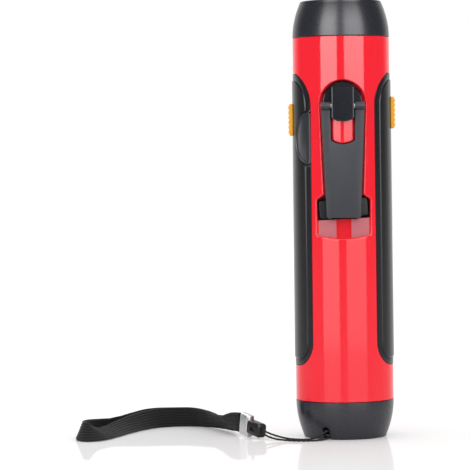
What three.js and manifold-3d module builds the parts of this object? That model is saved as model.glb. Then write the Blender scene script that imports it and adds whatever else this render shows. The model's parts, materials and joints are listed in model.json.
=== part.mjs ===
// Hand crank flashlight. Millimetres, +Z up, standing on its tail cap. The crank faces -Y.
import * as THREE from 'three';
import { mergeVertices } from 'three/addons/utils/BufferGeometryUtils.js';
import Module from 'manifold-3d';

const wasm = await Module();
wasm.setup();

// Driving dimensions of the whole flashlight
const tailHeight = 18.8;
const headHeight = 18.2;
const bodyRadiusBottom = 24.35;
const bodyTaper = 0.3;
const shellWall = 2.7;
const clearance = 0.3;
const seamGap = 0.2;
const weld = 0.5;
const overrun = 3;
const degree = Math.PI / 180;

// End caps
const capDrop = 4.1;
const capEdgeRadius = 0.9;
const capSteps = 5;
const skirtHeight = 5.4;
const skirtWall = 1.9;
const tailFloor = 2.4;
const tailWall = 2.3;

// Head optics
const lensInset = 5.65;
const lensThickness = 2;
const lipWidth = 1.4;
const lipDepth = 3.4;
const lipBevel = 0.9;
const sealSection = 1.2;
const reflectorFlange = 2.8;
const reflectorThroatRadius = 4.5;
const reflectorHeight = 17.3;
const reflectorWall = 1.2;
const ledgeHeight = 2.4;
const ledBoardInset = 6.4;
const ledBoardThickness = 1.6;
const ledRadius = 3.2;
const ledBaseHeight = 0.9;
const ledDomeRadius = 2.2;
const bulkheadHole = 8;
const bulkheadThickness = 1.5;

// Grip panels
const panelAboveTail = 17.6;
const panelBelowHead = 17.5;
const panelEdgeAngle = 41 * degree;
const panelTopCorner = 16.5;
const panelBottomCorner = 11.5;
const panelDepth = 1.3;
const panelProud = 0.45;
const borderProud = 0.12;
const borderWidth = 3.3;

// Case screws
const screwX = 11;
const lowScrewAboveTail = 11.2;
const highScrewAboveHub = 16.8;
const screwShankRadius = 1.2;
const screwHeadRadius = 2.3;
const screwHeadHeight = 1.8;
const screwLength = 22;
const screwSeatSunk = 10.05;
const bossRadius = 3;

// Crank: how far its pieces sink below the body's surface or stand proud of it
const bodyAboveHub = 32.4;
const hubRadius = 9.65;
const hubSunk = 4.45;
const hubThickness = 2.2;
const recessRadius = 11.8;
const recessConeDepth = 1.5;
const floorThickness = 1.8;
const shaftRadius = 2.5;
const blockWidth = 11;
const blockProud = 2.55;
const pinBelowHub = 1.9;
const pinProud = 0.35;
const pinRadius = 1.1;
const armProud = 0.15;
const armThickness = 3.4;
const armHalfTop = 10.8;
const armHalfTip = 8.4;
const armTipBelowKnob = 5.4;
const armTipCorner = 1.5;
const prongInner = 5.9;
const slotBelowPin = 18.6;
const slotBottomRadius = 10.3;
const knuckleRadius = 2.05;
const channelClearance = 0.45;
const channelFloorGap = 0.4;
const humpRadius = 10.6;
const humpGap = 0.4;
const humpSunk = 0.05;

// Knob and its window
const knobAboveShelf = 6.6;
const knobLength = 24.9;
const knobWidth = 9.6;
const knobDepth = 7.7;
const knobStandOff = 2.9;
const knobCorner = 2;
const knobRounding = 1.1;
const knobScrewRadius = 1.4;
const knobScrewHeadRadius = 3;
const knobScrewHeadHeight = 1.4;
const knobScrewCover = 0.8;
const knobPostRadius = 3.4;
const windowGap = 0.45;
const windowAboveKnob = 6.3;
const windowCornerWidth = 3.3;
const windowCornerHeight = 2.2;
const wellMargin = 0.75;
const wellWall = 1.5;
const shelfHeight = 8.4;
const shelfAboveBattery = 10.3;
const shelfSag = 1.7;
const shelfGrooveHalf = 3.7;
const shelfGrooveSunk = 4.85;
const shelfInnerSunk = 3.45;
const shelfOuterSunk = 4.65;

// Gears and generator
const gearModule = 0.8;
const driveTeeth = 30;
const pinionTeeth = 10;
const wheelTeeth = 26;
const gearFace = 2.4;
const backlash = 0.16;
const pressureAngle = 25 * degree;
const addendumShare = 0.86;
const dedendumShare = 1.2;
const axleRadius = 1;
const axleGap = 0.25;
const bushWall = 1.5;
const gearPlateThickness = 1.5;
const gearPlateSideGap = 3.45;
const platePostRadius = 2.6;
const plateScrewRadius = 1;
const plateScrewHeadRadius = 1.9;
const plateScrewHeadHeight = 1.2;
const plateScrewLength = 4.6;
const platePostX = 8;
const platePostInset = 2.8;
const highPostAboveHub = 16.3;
const rotorAbovePost = 3.8;
const housingRadius = 12.5;
const housingDepthShare = 0.673;
const housingWall = 1.1;
const magnetRadius = 6.6;
const magnetEndGap = 0.25;
const coilInner = 7.4;
const coilOuter = 11;
const coilBackGap = 2;

// Slide switches
const switchBelowHub = 6.5;
const switchTravel = 3;
const buttonLength = 15.8;
const buttonWidth = 9;
const buttonProud = 2.3;
const ribPitch = 2.4;
const ribCount = 6;
const ribDepth = 0.7;
const ribFootShare = 0.36;
const ribTipShare = 0.16;
const stemLength = 5;
const stemWidth = 3;
const switchLength = 11;
const switchWidth = 6.4;
const switchDepth = 5;
const switchSlotDepth = 1.5;
const switchBoardLength = 19;
const switchBoardWidth = 12;
const boardThickness = 1.2;

// Port cover and sockets
const coverBelowSwitch = 11;
const coverRadius = 13;
const hingeBarrelRadius = 0.7;
const usbAboveCoverCentre = 1.1;
const usbAngle = -56 * degree;
const usbLength = 9.2;
const usbHeight = 5.2;
const usbWall = 0.6;
const usbTongue = 1;
const jackBelowCoverCentre = 8.1;
const jackAngle = -51.5 * degree;
const jackRadius = 3.5;
const jackBore = 2.7;
const jackPin = 0.8;
const socketMouthInset = 0.6;
const socketReach = 16.35;

// Main board, cells and their holder
const mainBoardInset = 8.35;
const mainBoardSideGap = 3.44;
const boardAboveBattery = 6.9;
const boardAboveHub = 11.8;
const boardPostRadius = 2;
const boardPostInset = 3;
const cellCount = 3;
const cellRadius = 7.25;
const cellHeight = 50.5;
const cellButtonRadius = 2.7;
const cellButtonHeight = 1;
const holderPlate = 1.5;
const holderStrutWidth = 4;
const holderStrutDepth = 2;
const contactThickness = 0.4;
const contactRadius = 13.8;

// Lanyard eye, strap and its end
const eyeAngle = -27 * degree;
const eyeWidth = 3.8;
const eyeBottom = 2.6;
const eyeTop = 7;
const barThickness = 1.15;
const eyeChamberDepth = 3.2;
const eyeBlockWidth = 7;
const eyeBlockTop = 9;
const stringDiameter = 1;
const webbingWidth = 10;
const webbingThickness = 1.1;
const layerPitch = 1.5;
const crimpLength = 8.5;
const crimpWall = 0.5;
const crimpGap = 0.9;
const endCapLength = 10.5;
const endCapHeight = 7;
const endCapThickness = 5.4;
const endCapCorner = 1.6;

// Smoothness
const bodySegments = 60;
const mediumSegments = 28;
const smallSegments = 18;
const tinySegments = 12;
const panelSteps = 24;
const curveSegments = 6;
const stringSides = 8;
const stringSteps = 54;
const webbingStepsPerPoint = 3;
const mergeTolerance = 1e-4;

// Heights that follow from the dimensions above, from the tail upwards
const bodyBottom = tailHeight;
const panelBottom = bodyBottom + panelAboveTail;
const lowScrewZ = bodyBottom + lowScrewAboveTail;
const contactStack = contactThickness + 2 * clearance;
const holderBottomZ = lowScrewZ + bossRadius + 2 * clearance;
const cellBottomZ = holderBottomZ + holderPlate + contactStack;
const holderTopZ = cellBottomZ + cellHeight + contactStack + holderPlate;
const shelfBottomZ = holderTopZ + shelfAboveBattery;
const shelfTopZ = shelfBottomZ + shelfHeight;
const knobZ = shelfTopZ + knobAboveShelf;
const armTipZ = knobZ - armTipBelowKnob;
const windowTopZ = knobZ + windowAboveKnob;
const windowHalf = knobLength / 2 + windowGap;
const wellHalf = knobLength / 2 + wellMargin;
const platePostLowZ = knobZ + wellHalf + wellWall + clearance + platePostRadius;
const rotorZ = platePostLowZ + rotorAbovePost;
const compoundZ = rotorZ + (gearModule * (wheelTeeth + pinionTeeth)) / 2;
const hubZ = compoundZ + (gearModule * (driveTeeth + pinionTeeth)) / 2;
const pinZ = hubZ - pinBelowHub;
const slotBottomZ = pinZ - slotBelowPin;
const platePostHighZ = hubZ + highPostAboveHub;
const highScrewZ = hubZ + highScrewAboveHub;
const switchCentreZ = hubZ - switchBelowHub;
const coverZ = switchCentreZ - coverBelowSwitch;
const usbZ = coverZ + usbAboveCoverCentre;
const jackZ = coverZ - jackBelowCoverCentre;
const mainBoardBottom = holderTopZ + boardAboveBattery;
const mainBoardTop = hubZ + boardAboveHub;
const bodyTop = hubZ + bodyAboveHub;
const panelTop = bodyTop - panelBelowHead;
const totalHeight = bodyTop + headHeight;

// Distances out from the axis that follow from them, from the body's surface inwards
const bodyRadiusTop = bodyRadiusBottom - bodyTaper;
const shellInner = bodyRadiusTop - shellWall;
const holderRadius = shellInner - clearance;
const hubFace = bodyRadiusTop - hubSunk;
const hubBack = hubFace - hubThickness;
const recessFloor = hubBack - clearance;
const recessFloorInner = recessFloor - floorThickness;
const blockFace = bodyRadiusTop + blockProud;
const pinOut = bodyRadiusTop + pinProud;
const armOuter = bodyRadiusTop + armProud;
const armInner = armOuter - armThickness;
const channelFloor = armInner - channelFloorGap;
const humpOut = bodyRadiusTop - humpSunk;
const knobOuter = armInner - knobStandOff;
const knobInner = knobOuter - knobDepth;
const wellCeiling = knobOuter + clearance;
const wellFloor = knobInner - channelFloorGap;
const shelfGrooveOut = bodyRadiusTop - shelfGrooveSunk;
const shelfInnerOut = bodyRadiusTop - shelfInnerSunk;
const shelfOuterOut = bodyRadiusTop - shelfOuterSunk;
const driveOut = recessFloorInner - clearance - gearFace;
const wheelOut = driveOut - clearance - gearFace;
const plateOut = wheelOut - clearance - gearPlateThickness;
const housingOut = plateOut - clearance;
const lensRadius = bodyRadiusTop - lensInset;
const lipRadius = lensRadius - lipWidth;
const reflectorMouthRadius = lensRadius - reflectorFlange;
const ledBoardRadius = lensRadius - ledBoardInset;
const screwSeatY = bodyRadiusTop - screwSeatSunk;
const switchFace = shellInner - 2 * clearance;
const switchBoardFace = switchFace - switchDepth - clearance;
const gearPlateFootHalf = platePostX + platePostInset;
const gearPlateHalf = switchBoardFace - boardThickness - gearPlateSideGap;
const mainBoardY = shellInner - mainBoardInset;
const mainBoardHalf = Math.sqrt(shellInner ** 2 - (mainBoardY + boardThickness) ** 2) - mainBoardSideGap;
const housingLength = (housingOut + mainBoardY) * housingDepthShare;
const coilLength = housingLength - 2 * housingWall - clearance - coilBackGap;
const magnetLength = coilLength - 2 * magnetEndGap;

function bodyRadius(z) {
  const share = (z - bodyBottom) / (bodyTop - bodyBottom);
  return bodyRadiusBottom + (bodyRadiusTop - bodyRadiusBottom) * share;
}

const finish = (color, roughness, metalness = 0) =>
  new THREE.MeshStandardMaterial({ color, roughness, metalness });
const red = finish(0xff233a, 0.18);
const slate = finish(0x3a3b46, 0.42);
const satinBlack = finish(0x26262e, 0.45);
const armGrey = finish(0x50525c, 0.5);
const amber = finish(0xf7a51c, 0.4);
const rubber = finish(0x2c2c34, 0.7);
const steel = finish(0xc8cacf, 0.25, 1);
const brass = finish(0xc9a04e, 0.35, 1);
const chrome = finish(0xe8e8ea, 0.08, 1);
const clear = finish(0xe8f0f4, 0.05);
const whitePlastic = finish(0xe4e2da, 0.5);
const copper = finish(0xb4622d, 0.35, 1);
const boardGreen = finish(0x1f6b3c, 0.5);
const cellWrap = finish(0x2e7d54, 0.4);
const magnetGrey = finish(0x5a5c60, 0.4, 1);
const ledYellow = finish(0xf2e28a, 0.3);
const webbingBlack = finish(0x1d1d22, 0.9);

// Makes a closed three.js geometry into a solid for cutting and joining.
function toSolid(geometry) {
  const bare = geometry.clone();
  bare.deleteAttribute('normal');
  bare.deleteAttribute('uv');
  const merged = mergeVertices(bare, mergeTolerance);
  const index = merged.index.array;
  const triangles = [];
  for (let i = 0; i < index.length; i += 3) {
    const [a, b, c] = [index[i], index[i + 1], index[i + 2]];
    if (a !== b && b !== c && c !== a) triangles.push(a, b, c);
  }
  const build = (list) => new wasm.Manifold(new wasm.Mesh({
    numProp: 3,
    vertProperties: new Float32Array(merged.attributes.position.array),
    triVerts: new Uint32Array(list),
  }));
  const made = build(triangles);
  if (made.volume() > 0) return made;
  return build(triangles.reverse());
}

function toGeometry(solid) {
  const mesh = solid.getMesh();
  const geometry = new THREE.BufferGeometry();
  geometry.setAttribute('position', new THREE.BufferAttribute(mesh.vertProperties, 3));
  geometry.setIndex(new THREE.BufferAttribute(mesh.triVerts, 1));
  const faceted = geometry.toNonIndexed();
  faceted.computeVertexNormals();
  return faceted;
}

function join(first, ...others) {
  return others.reduce((whole, next) => whole.add(next), first);
}

function cut(first, ...others) {
  return others.reduce((whole, next) => whole.subtract(next), first);
}

function piece(name, solid, material) {
  const mesh = new THREE.Mesh(toGeometry(solid), material);
  mesh.name = name;
  return mesh;
}

// A turned body about Z from a closed outline of [radius, height] points.
function turned(outline, segments = smallSegments) {
  const points = outline.map(([radius, z]) => new THREE.Vector2(radius, z));
  points.push(points[0].clone());
  return new THREE.LatheGeometry(points, segments).rotateX(Math.PI / 2);
}

function disc(radius, low, high, segments = smallSegments) {
  return turned([[0, low], [radius, low], [radius, high], [0, high]], segments);
}

function ring(inner, outer, low, high, segments = smallSegments) {
  return turned([[inner, low], [outer, low], [outer, high], [inner, high]], segments);
}

function block([lowX, highX], [lowY, highY], [lowZ, highZ]) {
  return new THREE.BoxGeometry(highX - lowX, highY - lowY, highZ - lowZ)
    .translate((lowX + highX) / 2, (lowY + highY) / 2, (lowZ + highZ) / 2);
}

function shapeOf(points) {
  return new THREE.Shape(points.map(([x, y]) => new THREE.Vector2(x, y)));
}

function slab(shape, low, high) {
  const settings = { depth: high - low, bevelEnabled: false, curveSegments };
  return new THREE.ExtrudeGeometry(shape, settings).translate(0, 0, low);
}

// Turns geometry drawn in x, up, out so that "out" points to -Y and "up" to +Z.
const facing = (geometry) => geometry.rotateX(Math.PI / 2);

function frontDisc(radius, z, inner, outer, x = 0, segments = smallSegments) {
  return facing(disc(radius, inner, outer, segments).translate(x, z, 0));
}

// A group whose own x, y and z axes point along X, up, and out of the crank side.
function frontGroup(z = 0) {
  const group = new THREE.Group();
  group.position.z = z;
  group.rotation.x = Math.PI / 2;
  return group;
}

// A plate bent round the body. Angles run from the crank side, positive to +X.
function wrappedPlate({ angles, low, high, inner, outer }) {
  const rings = angles.map((angle) => {
    const corners = [[inner, low], [outer, low], [outer, high], [inner, high]];
    return corners.map(([radius, edge]) => {
      const z = edge(angle);
      return [radius(z) * Math.sin(angle), -radius(z) * Math.cos(angle), z];
    });
  });
  return loft(rings);
}

// A closed body through rings that have the same number of points.
function loft(rings) {
  const count = rings[0].length;
  const positions = [];
  const triangle = (a, b, c) => positions.push(...a, ...b, ...c);
  for (let i = 1; i < rings.length; i += 1) {
    for (let j = 0; j < count; j += 1) {
      const k = (j + 1) % count;
      triangle(rings[i - 1][j], rings[i - 1][k], rings[i][k]);
      triangle(rings[i - 1][j], rings[i][k], rings[i][j]);
    }
  }
  const last = rings[rings.length - 1];
  for (let j = 1; j < count - 1; j += 1) {
    triangle(rings[0][0], rings[0][j + 1], rings[0][j]);
    triangle(last[0], last[j], last[j + 1]);
  }
  const geometry = new THREE.BufferGeometry();
  geometry.setAttribute('position', new THREE.Float32BufferAttribute(positions, 3));
  return geometry;
}

// The curved side of a cap, from its seam with the body to its rounded end.
function capOutline(seamRadius, seamZ, endZ) {
  const height = endZ - seamZ;
  const outline = [];
  for (let i = 0; i <= capSteps; i += 1) {
    const share = (i / capSteps) * (1 - capEdgeRadius / Math.abs(height));
    outline.push([seamRadius - capDrop * share ** 2, seamZ + height * share]);
  }
  const [edgeRadius] = outline[capSteps];
  const bevel = capEdgeRadius * (1 - Math.SQRT1_2);
  outline.push([edgeRadius - bevel, endZ - Math.sign(height) * bevel]);
  outline.push([edgeRadius - capEdgeRadius, endZ]);
  return outline;
}

// Head: ring, lens, seal, reflector and LED
function makeHead() {
  const group = new THREE.Group();
  const seamZ = bodyTop + seamGap;
  const skirtOuter = shellInner - clearance;
  const bore = lensRadius + clearance;
  const lensTop = totalHeight - lipDepth - clearance;
  const lensBottom = lensTop - lensThickness;
  const sealBottom = lensBottom - clearance - sealSection;
  const reflectorTop = sealBottom - clearance;
  const flangeBottom = reflectorTop - reflectorWall;
  const ledgeRadius = reflectorMouthRadius + reflectorWall + clearance;
  const ledgeTop = flangeBottom - clearance;
  const ledgeBottom = ledgeTop - ledgeHeight;
  const skirtInner = skirtOuter - skirtWall;
  const skirtBottom = bodyTop - skirtHeight;
  const outline = [
    ...capOutline(bodyRadiusTop, seamZ, totalHeight),
    [lipRadius + lipBevel, totalHeight],
    [lipRadius, totalHeight - lipBevel],
    [lipRadius, totalHeight - lipDepth],
    [bore, totalHeight - lipDepth],
    [bore, ledgeTop],
    [ledgeRadius, ledgeTop],
    [ledgeRadius, ledgeBottom],
    [skirtInner, ledgeBottom - reflectorWall],
    [skirtInner, skirtBottom],
    [skirtOuter, skirtBottom],
    [skirtOuter, seamZ],
  ];
  group.add(piece('head_ring', toSolid(turned(outline, bodySegments)), slate));

  const lens = disc(lensRadius, lensBottom, lensTop, mediumSegments);
  group.add(piece('lens', toSolid(lens), clear));

  const sealMiddle = lensRadius - sealSection;
  const sealOutline = [];
  for (let i = 0; i < tinySegments / 2; i += 1) {
    const turn = (i / (tinySegments / 2)) * 2 * Math.PI;
    sealOutline.push([
      sealMiddle + (sealSection / 2) * Math.cos(turn),
      sealBottom + sealSection / 2 + (sealSection / 2) * Math.sin(turn),
    ]);
  }
  group.add(piece('lens_seal', toSolid(turned(sealOutline, mediumSegments)), rubber));

  const reflectorBottom = reflectorTop - reflectorHeight;
  const bowl = (share) => {
    const throat = reflectorThroatRadius ** 2;
    return Math.sqrt(throat + (reflectorMouthRadius ** 2 - throat) * share);
  };
  const inside = [];
  const outside = [];
  for (let i = 0; i <= capSteps; i += 1) {
    const share = i / capSteps;
    const z = reflectorBottom + reflectorHeight * share;
    inside.unshift([bowl(share), z]);
    if (z < flangeBottom) outside.push([bowl(share) + reflectorWall, z]);
  }
  const reflectorOutline = [
    ...outside,
    [reflectorMouthRadius + reflectorWall, flangeBottom],
    [lensRadius, flangeBottom],
    [lensRadius, reflectorTop],
    ...inside,
  ];
  group.add(piece('reflector', toSolid(turned(reflectorOutline, mediumSegments)), chrome));

  const boardTop = reflectorBottom - clearance;
  const ledBoard = disc(ledBoardRadius, boardTop - ledBoardThickness, boardTop);
  group.add(piece('led_board', toSolid(ledBoard), whitePlastic));

  const ledBottom = boardTop + clearance;
  const ledOutline = [[0, ledBottom], [ledRadius, ledBottom], [ledRadius, ledBottom + ledBaseHeight]];
  for (let i = 0; i < curveSegments; i += 1) {
    const turn = (i / curveSegments) * (Math.PI / 2);
    ledOutline.push([
      ledDomeRadius * Math.cos(turn),
      ledBottom + ledBaseHeight + ledDomeRadius * Math.sin(turn),
    ]);
  }
  ledOutline.push([0, ledBottom + ledBaseHeight + ledDomeRadius]);
  group.add(piece('led', toSolid(turned(ledOutline)), ledYellow));
  return { group, bulkheadTop: boardTop - ledBoardThickness - clearance };
}

// Tail cap, with the lanyard eye cut in its edge
function makeTail() {
  const seamZ = bodyBottom - seamGap;
  const skirtOuter = shellInner - clearance;
  const skirtInner = skirtOuter - skirtWall;
  const hollow = bodyRadiusBottom - capDrop - tailWall;
  const outline = [
    ...capOutline(bodyRadiusBottom, seamZ, 0),
    [0, 0],
    [0, tailFloor],
    [hollow - tailWall, tailFloor],
    [hollow, tailFloor + tailWall],
    [skirtInner, bodyBottom - tailWall],
    [skirtInner, bodyBottom + skirtHeight],
    [skirtOuter, bodyBottom + skirtHeight],
    [skirtOuter, seamZ],
  ];
  const cap = toSolid(turned(outline, bodySegments));
  const envelope = toSolid(turned([...capOutline(bodyRadiusBottom, seamZ, 0), [0, 0], [0, seamZ]], bodySegments));
  const toEye = (geometry) => toSolid(facing(geometry).rotateZ(eyeAngle));
  const edgeOut = bodyRadiusBottom - capDrop;
  const chamberOut = edgeOut - tailWall;
  const chamberIn = chamberOut - eyeChamberDepth;
  const half = eyeWidth / 2;
  const housing = block([-eyeBlockWidth / 2, eyeBlockWidth / 2],
    [0, eyeBlockTop], [chamberIn - tailWall, bodyRadiusBottom]);
  const arch = shapeOf([[-half, eyeBottom], [half, eyeBottom]]);
  arch.absarc(0, eyeTop - half, half, 0, Math.PI);
  const sideHole = slab(arch, chamberIn, bodyRadiusBottom + overrun);
  const groove = block([-half, half], [-overrun, eyeBottom - barThickness],
    [chamberIn, bodyRadiusBottom + overrun]);
  const chamber = block([-half, half], [-overrun, eyeTop], [chamberIn, chamberOut]);
  const body = join(cap, toEye(housing).intersect(envelope));
  return piece('tail_cap', cut(body, toEye(sideHole), toEye(groove), toEye(chamber)), slate);
}

// Grip panels
function bentOutline(side, inset, spread) {
  const arcRadius = (bodyRadiusBottom + bodyRadiusTop) / 2;
  const halfWidth = (Math.PI / 2 - panelEdgeAngle) * arcRadius - inset + spread;
  const middle = side * Math.PI / 2;
  const angles = [];
  for (let i = 0; i <= panelSteps; i += 1) {
    const share = Math.sin((i / panelSteps - 1 / 2) * Math.PI);
    angles.push(middle + (share * halfWidth) / arcRadius);
  }
  const fall = (angle, corner) => {
    const radius = corner - inset + spread;
    const past = Math.abs(angle - middle) * arcRadius - (halfWidth - radius);
    return past > 0 ? radius - Math.sqrt(Math.max(radius ** 2 - past ** 2, 0)) : 0;
  };
  return {
    angles,
    low: (angle) => panelBottom + inset - spread + fall(angle, panelBottomCorner),
    high: (angle) => panelTop - inset + spread - fall(angle, panelTopCorner),
  };
}

const hingeAngle = panelEdgeAngle + hingeBarrelRadius / bodyRadiusTop;

// The half disc of the port cover, grown by a margin, between two depths.
function coverPlate(margin, fromAngle, inner, outer) {
  const radius = coverRadius + margin;
  const reach = radius / bodyRadiusTop;
  const angles = [];
  for (let i = 0; i <= tinySegments; i += 1) {
    const turn = (i / tinySegments) * (Math.PI / 2);
    const angle = fromAngle + (panelEdgeAngle + reach - fromAngle) * Math.sin(turn);
    angles.unshift(-angle);
  }
  const halfHeight = (angle) => {
    const along = Math.max(-angle - panelEdgeAngle, 0) * bodyRadiusTop;
    return Math.sqrt(Math.max(radius ** 2 - along ** 2, (hingeBarrelRadius / 2) ** 2));
  };
  return toSolid(wrappedPlate({
    angles,
    low: (angle) => coverZ - halfHeight(angle),
    high: (angle) => coverZ + halfHeight(angle),
    inner,
    outer,
  }));
}

const panelUnder = (z) => bodyRadius(z) - panelDepth + clearance;
const fieldTop = (z) => bodyRadius(z) + panelProud;

function switchSlot(side) {
  const halfZ = (stemLength + switchTravel) / 2 + clearance;
  const halfY = stemWidth / 2 + clearance;
  const reach = [shellInner - overrun, bodyRadiusBottom + overrun];
  const across = side > 0 ? reach : reach.map((x) => -x).reverse();
  return toSolid(block(across, [-halfY, halfY], [switchCentreZ - halfZ, switchCentreZ + halfZ]));
}

function makePanel(name, side) {
  const border = toSolid(wrappedPlate({
    ...bentOutline(side, 0, 0), inner: panelUnder, outer: (z) => bodyRadius(z) + borderProud,
  }));
  const field = toSolid(wrappedPlate({
    ...bentOutline(side, borderWidth, 0), inner: (z) => bodyRadius(z) - weld, outer: fieldTop,
  }));
  const panel = cut(join(border, field), switchSlot(side));
  if (side > 0) return piece(name, panel, satinBlack);
  const opening = coverPlate(clearance, panelEdgeAngle - 2 * clearance / bodyRadiusTop,
    () => shellInner, (z) => bodyRadius(z) + overrun);
  return piece(name, cut(panel, opening), satinBlack);
}

function makePortCover() {
  const plate = coverPlate(0, hingeAngle, panelUnder, fieldTop);
  const middle = (panelUnder(coverZ) + fieldTop(coverZ)) / 2;
  const half = coverRadius - hingeBarrelRadius;
  const barrel = disc(hingeBarrelRadius, coverZ - half, coverZ + half, tinySegments)
    .translate(-middle * Math.sin(hingeAngle), -middle * Math.cos(hingeAngle), 0);
  return piece('port_cover', join(plate, toSolid(barrel)), rubber);
}

// Sockets under the port cover, drawn upright and facing out, then turned to their angle
const socketMouth = bodyRadiusTop - panelDepth - socketMouthInset;

function makeUsbSocket() {
  const half = [usbHeight / 2, usbLength / 2];
  const shell = block([-half[0], half[0]], [-half[1], half[1]], [socketReach, socketMouth]);
  const inner = half.map((size) => size - usbWall);
  const cavity = block([-inner[0], inner[0]], [-inner[1], inner[1]],
    [socketReach + usbWall, socketMouth + overrun]);
  const tongue = block([-usbTongue / 2, usbTongue / 2], [-inner[1] / 2, inner[1] / 2],
    [socketReach + usbWall / 2, socketMouth - usbWall]);
  const mesh = piece('usb_socket', join(cut(toSolid(shell), toSolid(cavity)), toSolid(tongue)), steel);
  const group = frontGroup(usbZ);
  group.rotation.set(Math.PI / 2, usbAngle, 0, 'ZXY');
  group.add(mesh);
  return group;
}

function makeDcJack() {
  const outline = [[0, socketReach], [jackRadius, socketReach], [jackRadius, socketMouth],
    [jackBore, socketMouth], [jackBore, socketReach + usbWall], [jackPin, socketReach + usbWall],
    [jackPin, socketMouth - usbWall], [0, socketMouth - usbWall]];
  const group = frontGroup(jackZ);
  group.rotation.set(Math.PI / 2, jackAngle, 0, 'ZXY');
  group.add(piece('dc_jack', toSolid(turned(outline)), satinBlack));
  return group;
}

function socketHoles() {
  const low = shellInner - overrun;
  const high = bodyRadiusBottom + overrun;
  const half = [usbHeight / 2 + clearance, usbLength / 2 + clearance];
  const usb = facing(block([-half[0], half[0]], [-half[1], half[1]], [low, high]))
    .rotateZ(usbAngle).translate(0, 0, usbZ);
  const jack = facing(disc(jackRadius + clearance, low, high)).rotateZ(jackAngle).translate(0, 0, jackZ);
  return [toSolid(usb), toSolid(jack)];
}

// Outlines on the crank side, in x and z
function armHalfWidth(z) {
  return armHalfTip + ((armHalfTop - armHalfTip) * (z - armTipZ)) / (pinZ - armTipZ);
}

function slotArc(halfWidth, bottomZ, steps = curveSegments) {
  const points = [];
  const sweep = Math.asin(halfWidth / slotBottomRadius);
  const centreZ = bottomZ + slotBottomRadius;
  for (let i = 0; i <= steps; i += 1) {
    const turn = sweep * (1 - (2 * i) / steps);
    points.push([slotBottomRadius * Math.sin(turn), centreZ - slotBottomRadius * Math.cos(turn)]);
  }
  return points;
}

function armShape() {
  const shape = new THREE.Shape();
  const tip = armHalfWidth(armTipZ);
  shape.moveTo(-armHalfTop, pinZ);
  shape.lineTo(-armHalfWidth(armTipZ + armTipCorner), armTipZ + armTipCorner);
  shape.quadraticCurveTo(-tip, armTipZ, -tip + armTipCorner, armTipZ);
  shape.lineTo(tip - armTipCorner, armTipZ);
  shape.quadraticCurveTo(tip, armTipZ, armHalfWidth(armTipZ + armTipCorner), armTipZ + armTipCorner);
  shape.lineTo(armHalfTop, pinZ);
  shape.lineTo(prongInner, pinZ);
  slotArc(prongInner, slotBottomZ).forEach(([x, z]) => shape.lineTo(x, z));
  shape.lineTo(-prongInner, pinZ);
  return shape;
}

// The part of the window that the shelf crosses has a sagging lower edge.
function windowShape(halfWidth) {
  const points = [[halfWidth, shelfTopZ], [halfWidth, windowTopZ - windowCornerHeight],
    [halfWidth - windowCornerWidth, windowTopZ], [windowCornerWidth - halfWidth, windowTopZ],
    [-halfWidth, windowTopZ - windowCornerHeight], [-halfWidth, shelfTopZ]];
  return shapeOf(points);
}

function shelfShape(halfWidth, topZ) {
  const points = [[halfWidth, topZ], [-halfWidth, topZ]];
  for (let i = 0; i <= curveSegments; i += 1) {
    const share = (2 * i) / curveSegments - 1;
    points.push([share * halfWidth, shelfBottomZ + shelfSag * share ** 2]);
  }
  return shapeOf(points);
}

function makeShelfRecess() {
  const outside = bodyRadiusBottom + overrun;
  const half = windowHalf;
  const section = shapeOf([[-half, shelfOuterOut], [-shelfGrooveHalf, shelfInnerOut],
    [-shelfGrooveHalf, shelfGrooveOut], [shelfGrooveHalf, shelfGrooveOut],
    [shelfGrooveHalf, shelfInnerOut], [half, shelfOuterOut], [half, outside], [-half, outside]]);
  const across = slab(section, shelfBottomZ - overrun, shelfTopZ + weld).scale(1, -1, 1);
  const outline = facing(slab(shelfShape(half, shelfTopZ + weld), shelfGrooveOut - overrun, outside));
  return toSolid(across).intersect(toSolid(outline));
}

function frontRecesses() {
  const outside = bodyRadiusBottom + overrun;
  const recess = facing(turned([
    [0, recessFloor], [hubRadius + clearance, recessFloor],
    [hubRadius + clearance, hubFace],
    [recessRadius, hubFace + recessConeDepth], [recessRadius, outside], [0, outside],
  ], mediumSegments).translate(0, hubZ, 0));
  const channelHalf = (z) => armHalfWidth(z) + channelClearance;
  const channelTop = pinZ + knuckleRadius + channelClearance;
  const channel = facing(slab(shapeOf([
    [-channelHalf(windowTopZ - weld), windowTopZ - weld],
    [channelHalf(windowTopZ - weld), windowTopZ - weld],
    [channelHalf(pinZ), pinZ], [channelHalf(pinZ), channelTop],
    [-channelHalf(pinZ), channelTop], [-channelHalf(pinZ), pinZ],
  ]), channelFloor, outside));
  const humpHalf = prongInner - humpGap;
  const humpTop = hubZ - Math.sqrt((hubRadius + clearance) ** 2 - humpHalf ** 2);
  const hump = facing(slab(shapeOf([
    ...slotArc(humpHalf, slotBottomZ + humpGap), [-humpHalf, humpTop], [humpHalf, humpTop],
  ]), channelFloor - weld, outside));
  const dome = disc(humpRadius, slotBottomZ - overrun, hubZ, mediumSegments)
    .translate(0, humpRadius - humpOut, 0);
  const island = toSolid(hump).intersect(toSolid(dome));
  const window = facing(slab(windowShape(windowHalf), wellCeiling - weld, outside));
  const well = facing(block([-wellHalf, wellHalf], [knobZ - wellHalf, knobZ + wellHalf],
    [wellFloor, wellCeiling]));
  return [
    toSolid(recess), cut(toSolid(channel), island), toSolid(window), toSolid(well),
    makeShelfRecess(),
  ];
}

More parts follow.
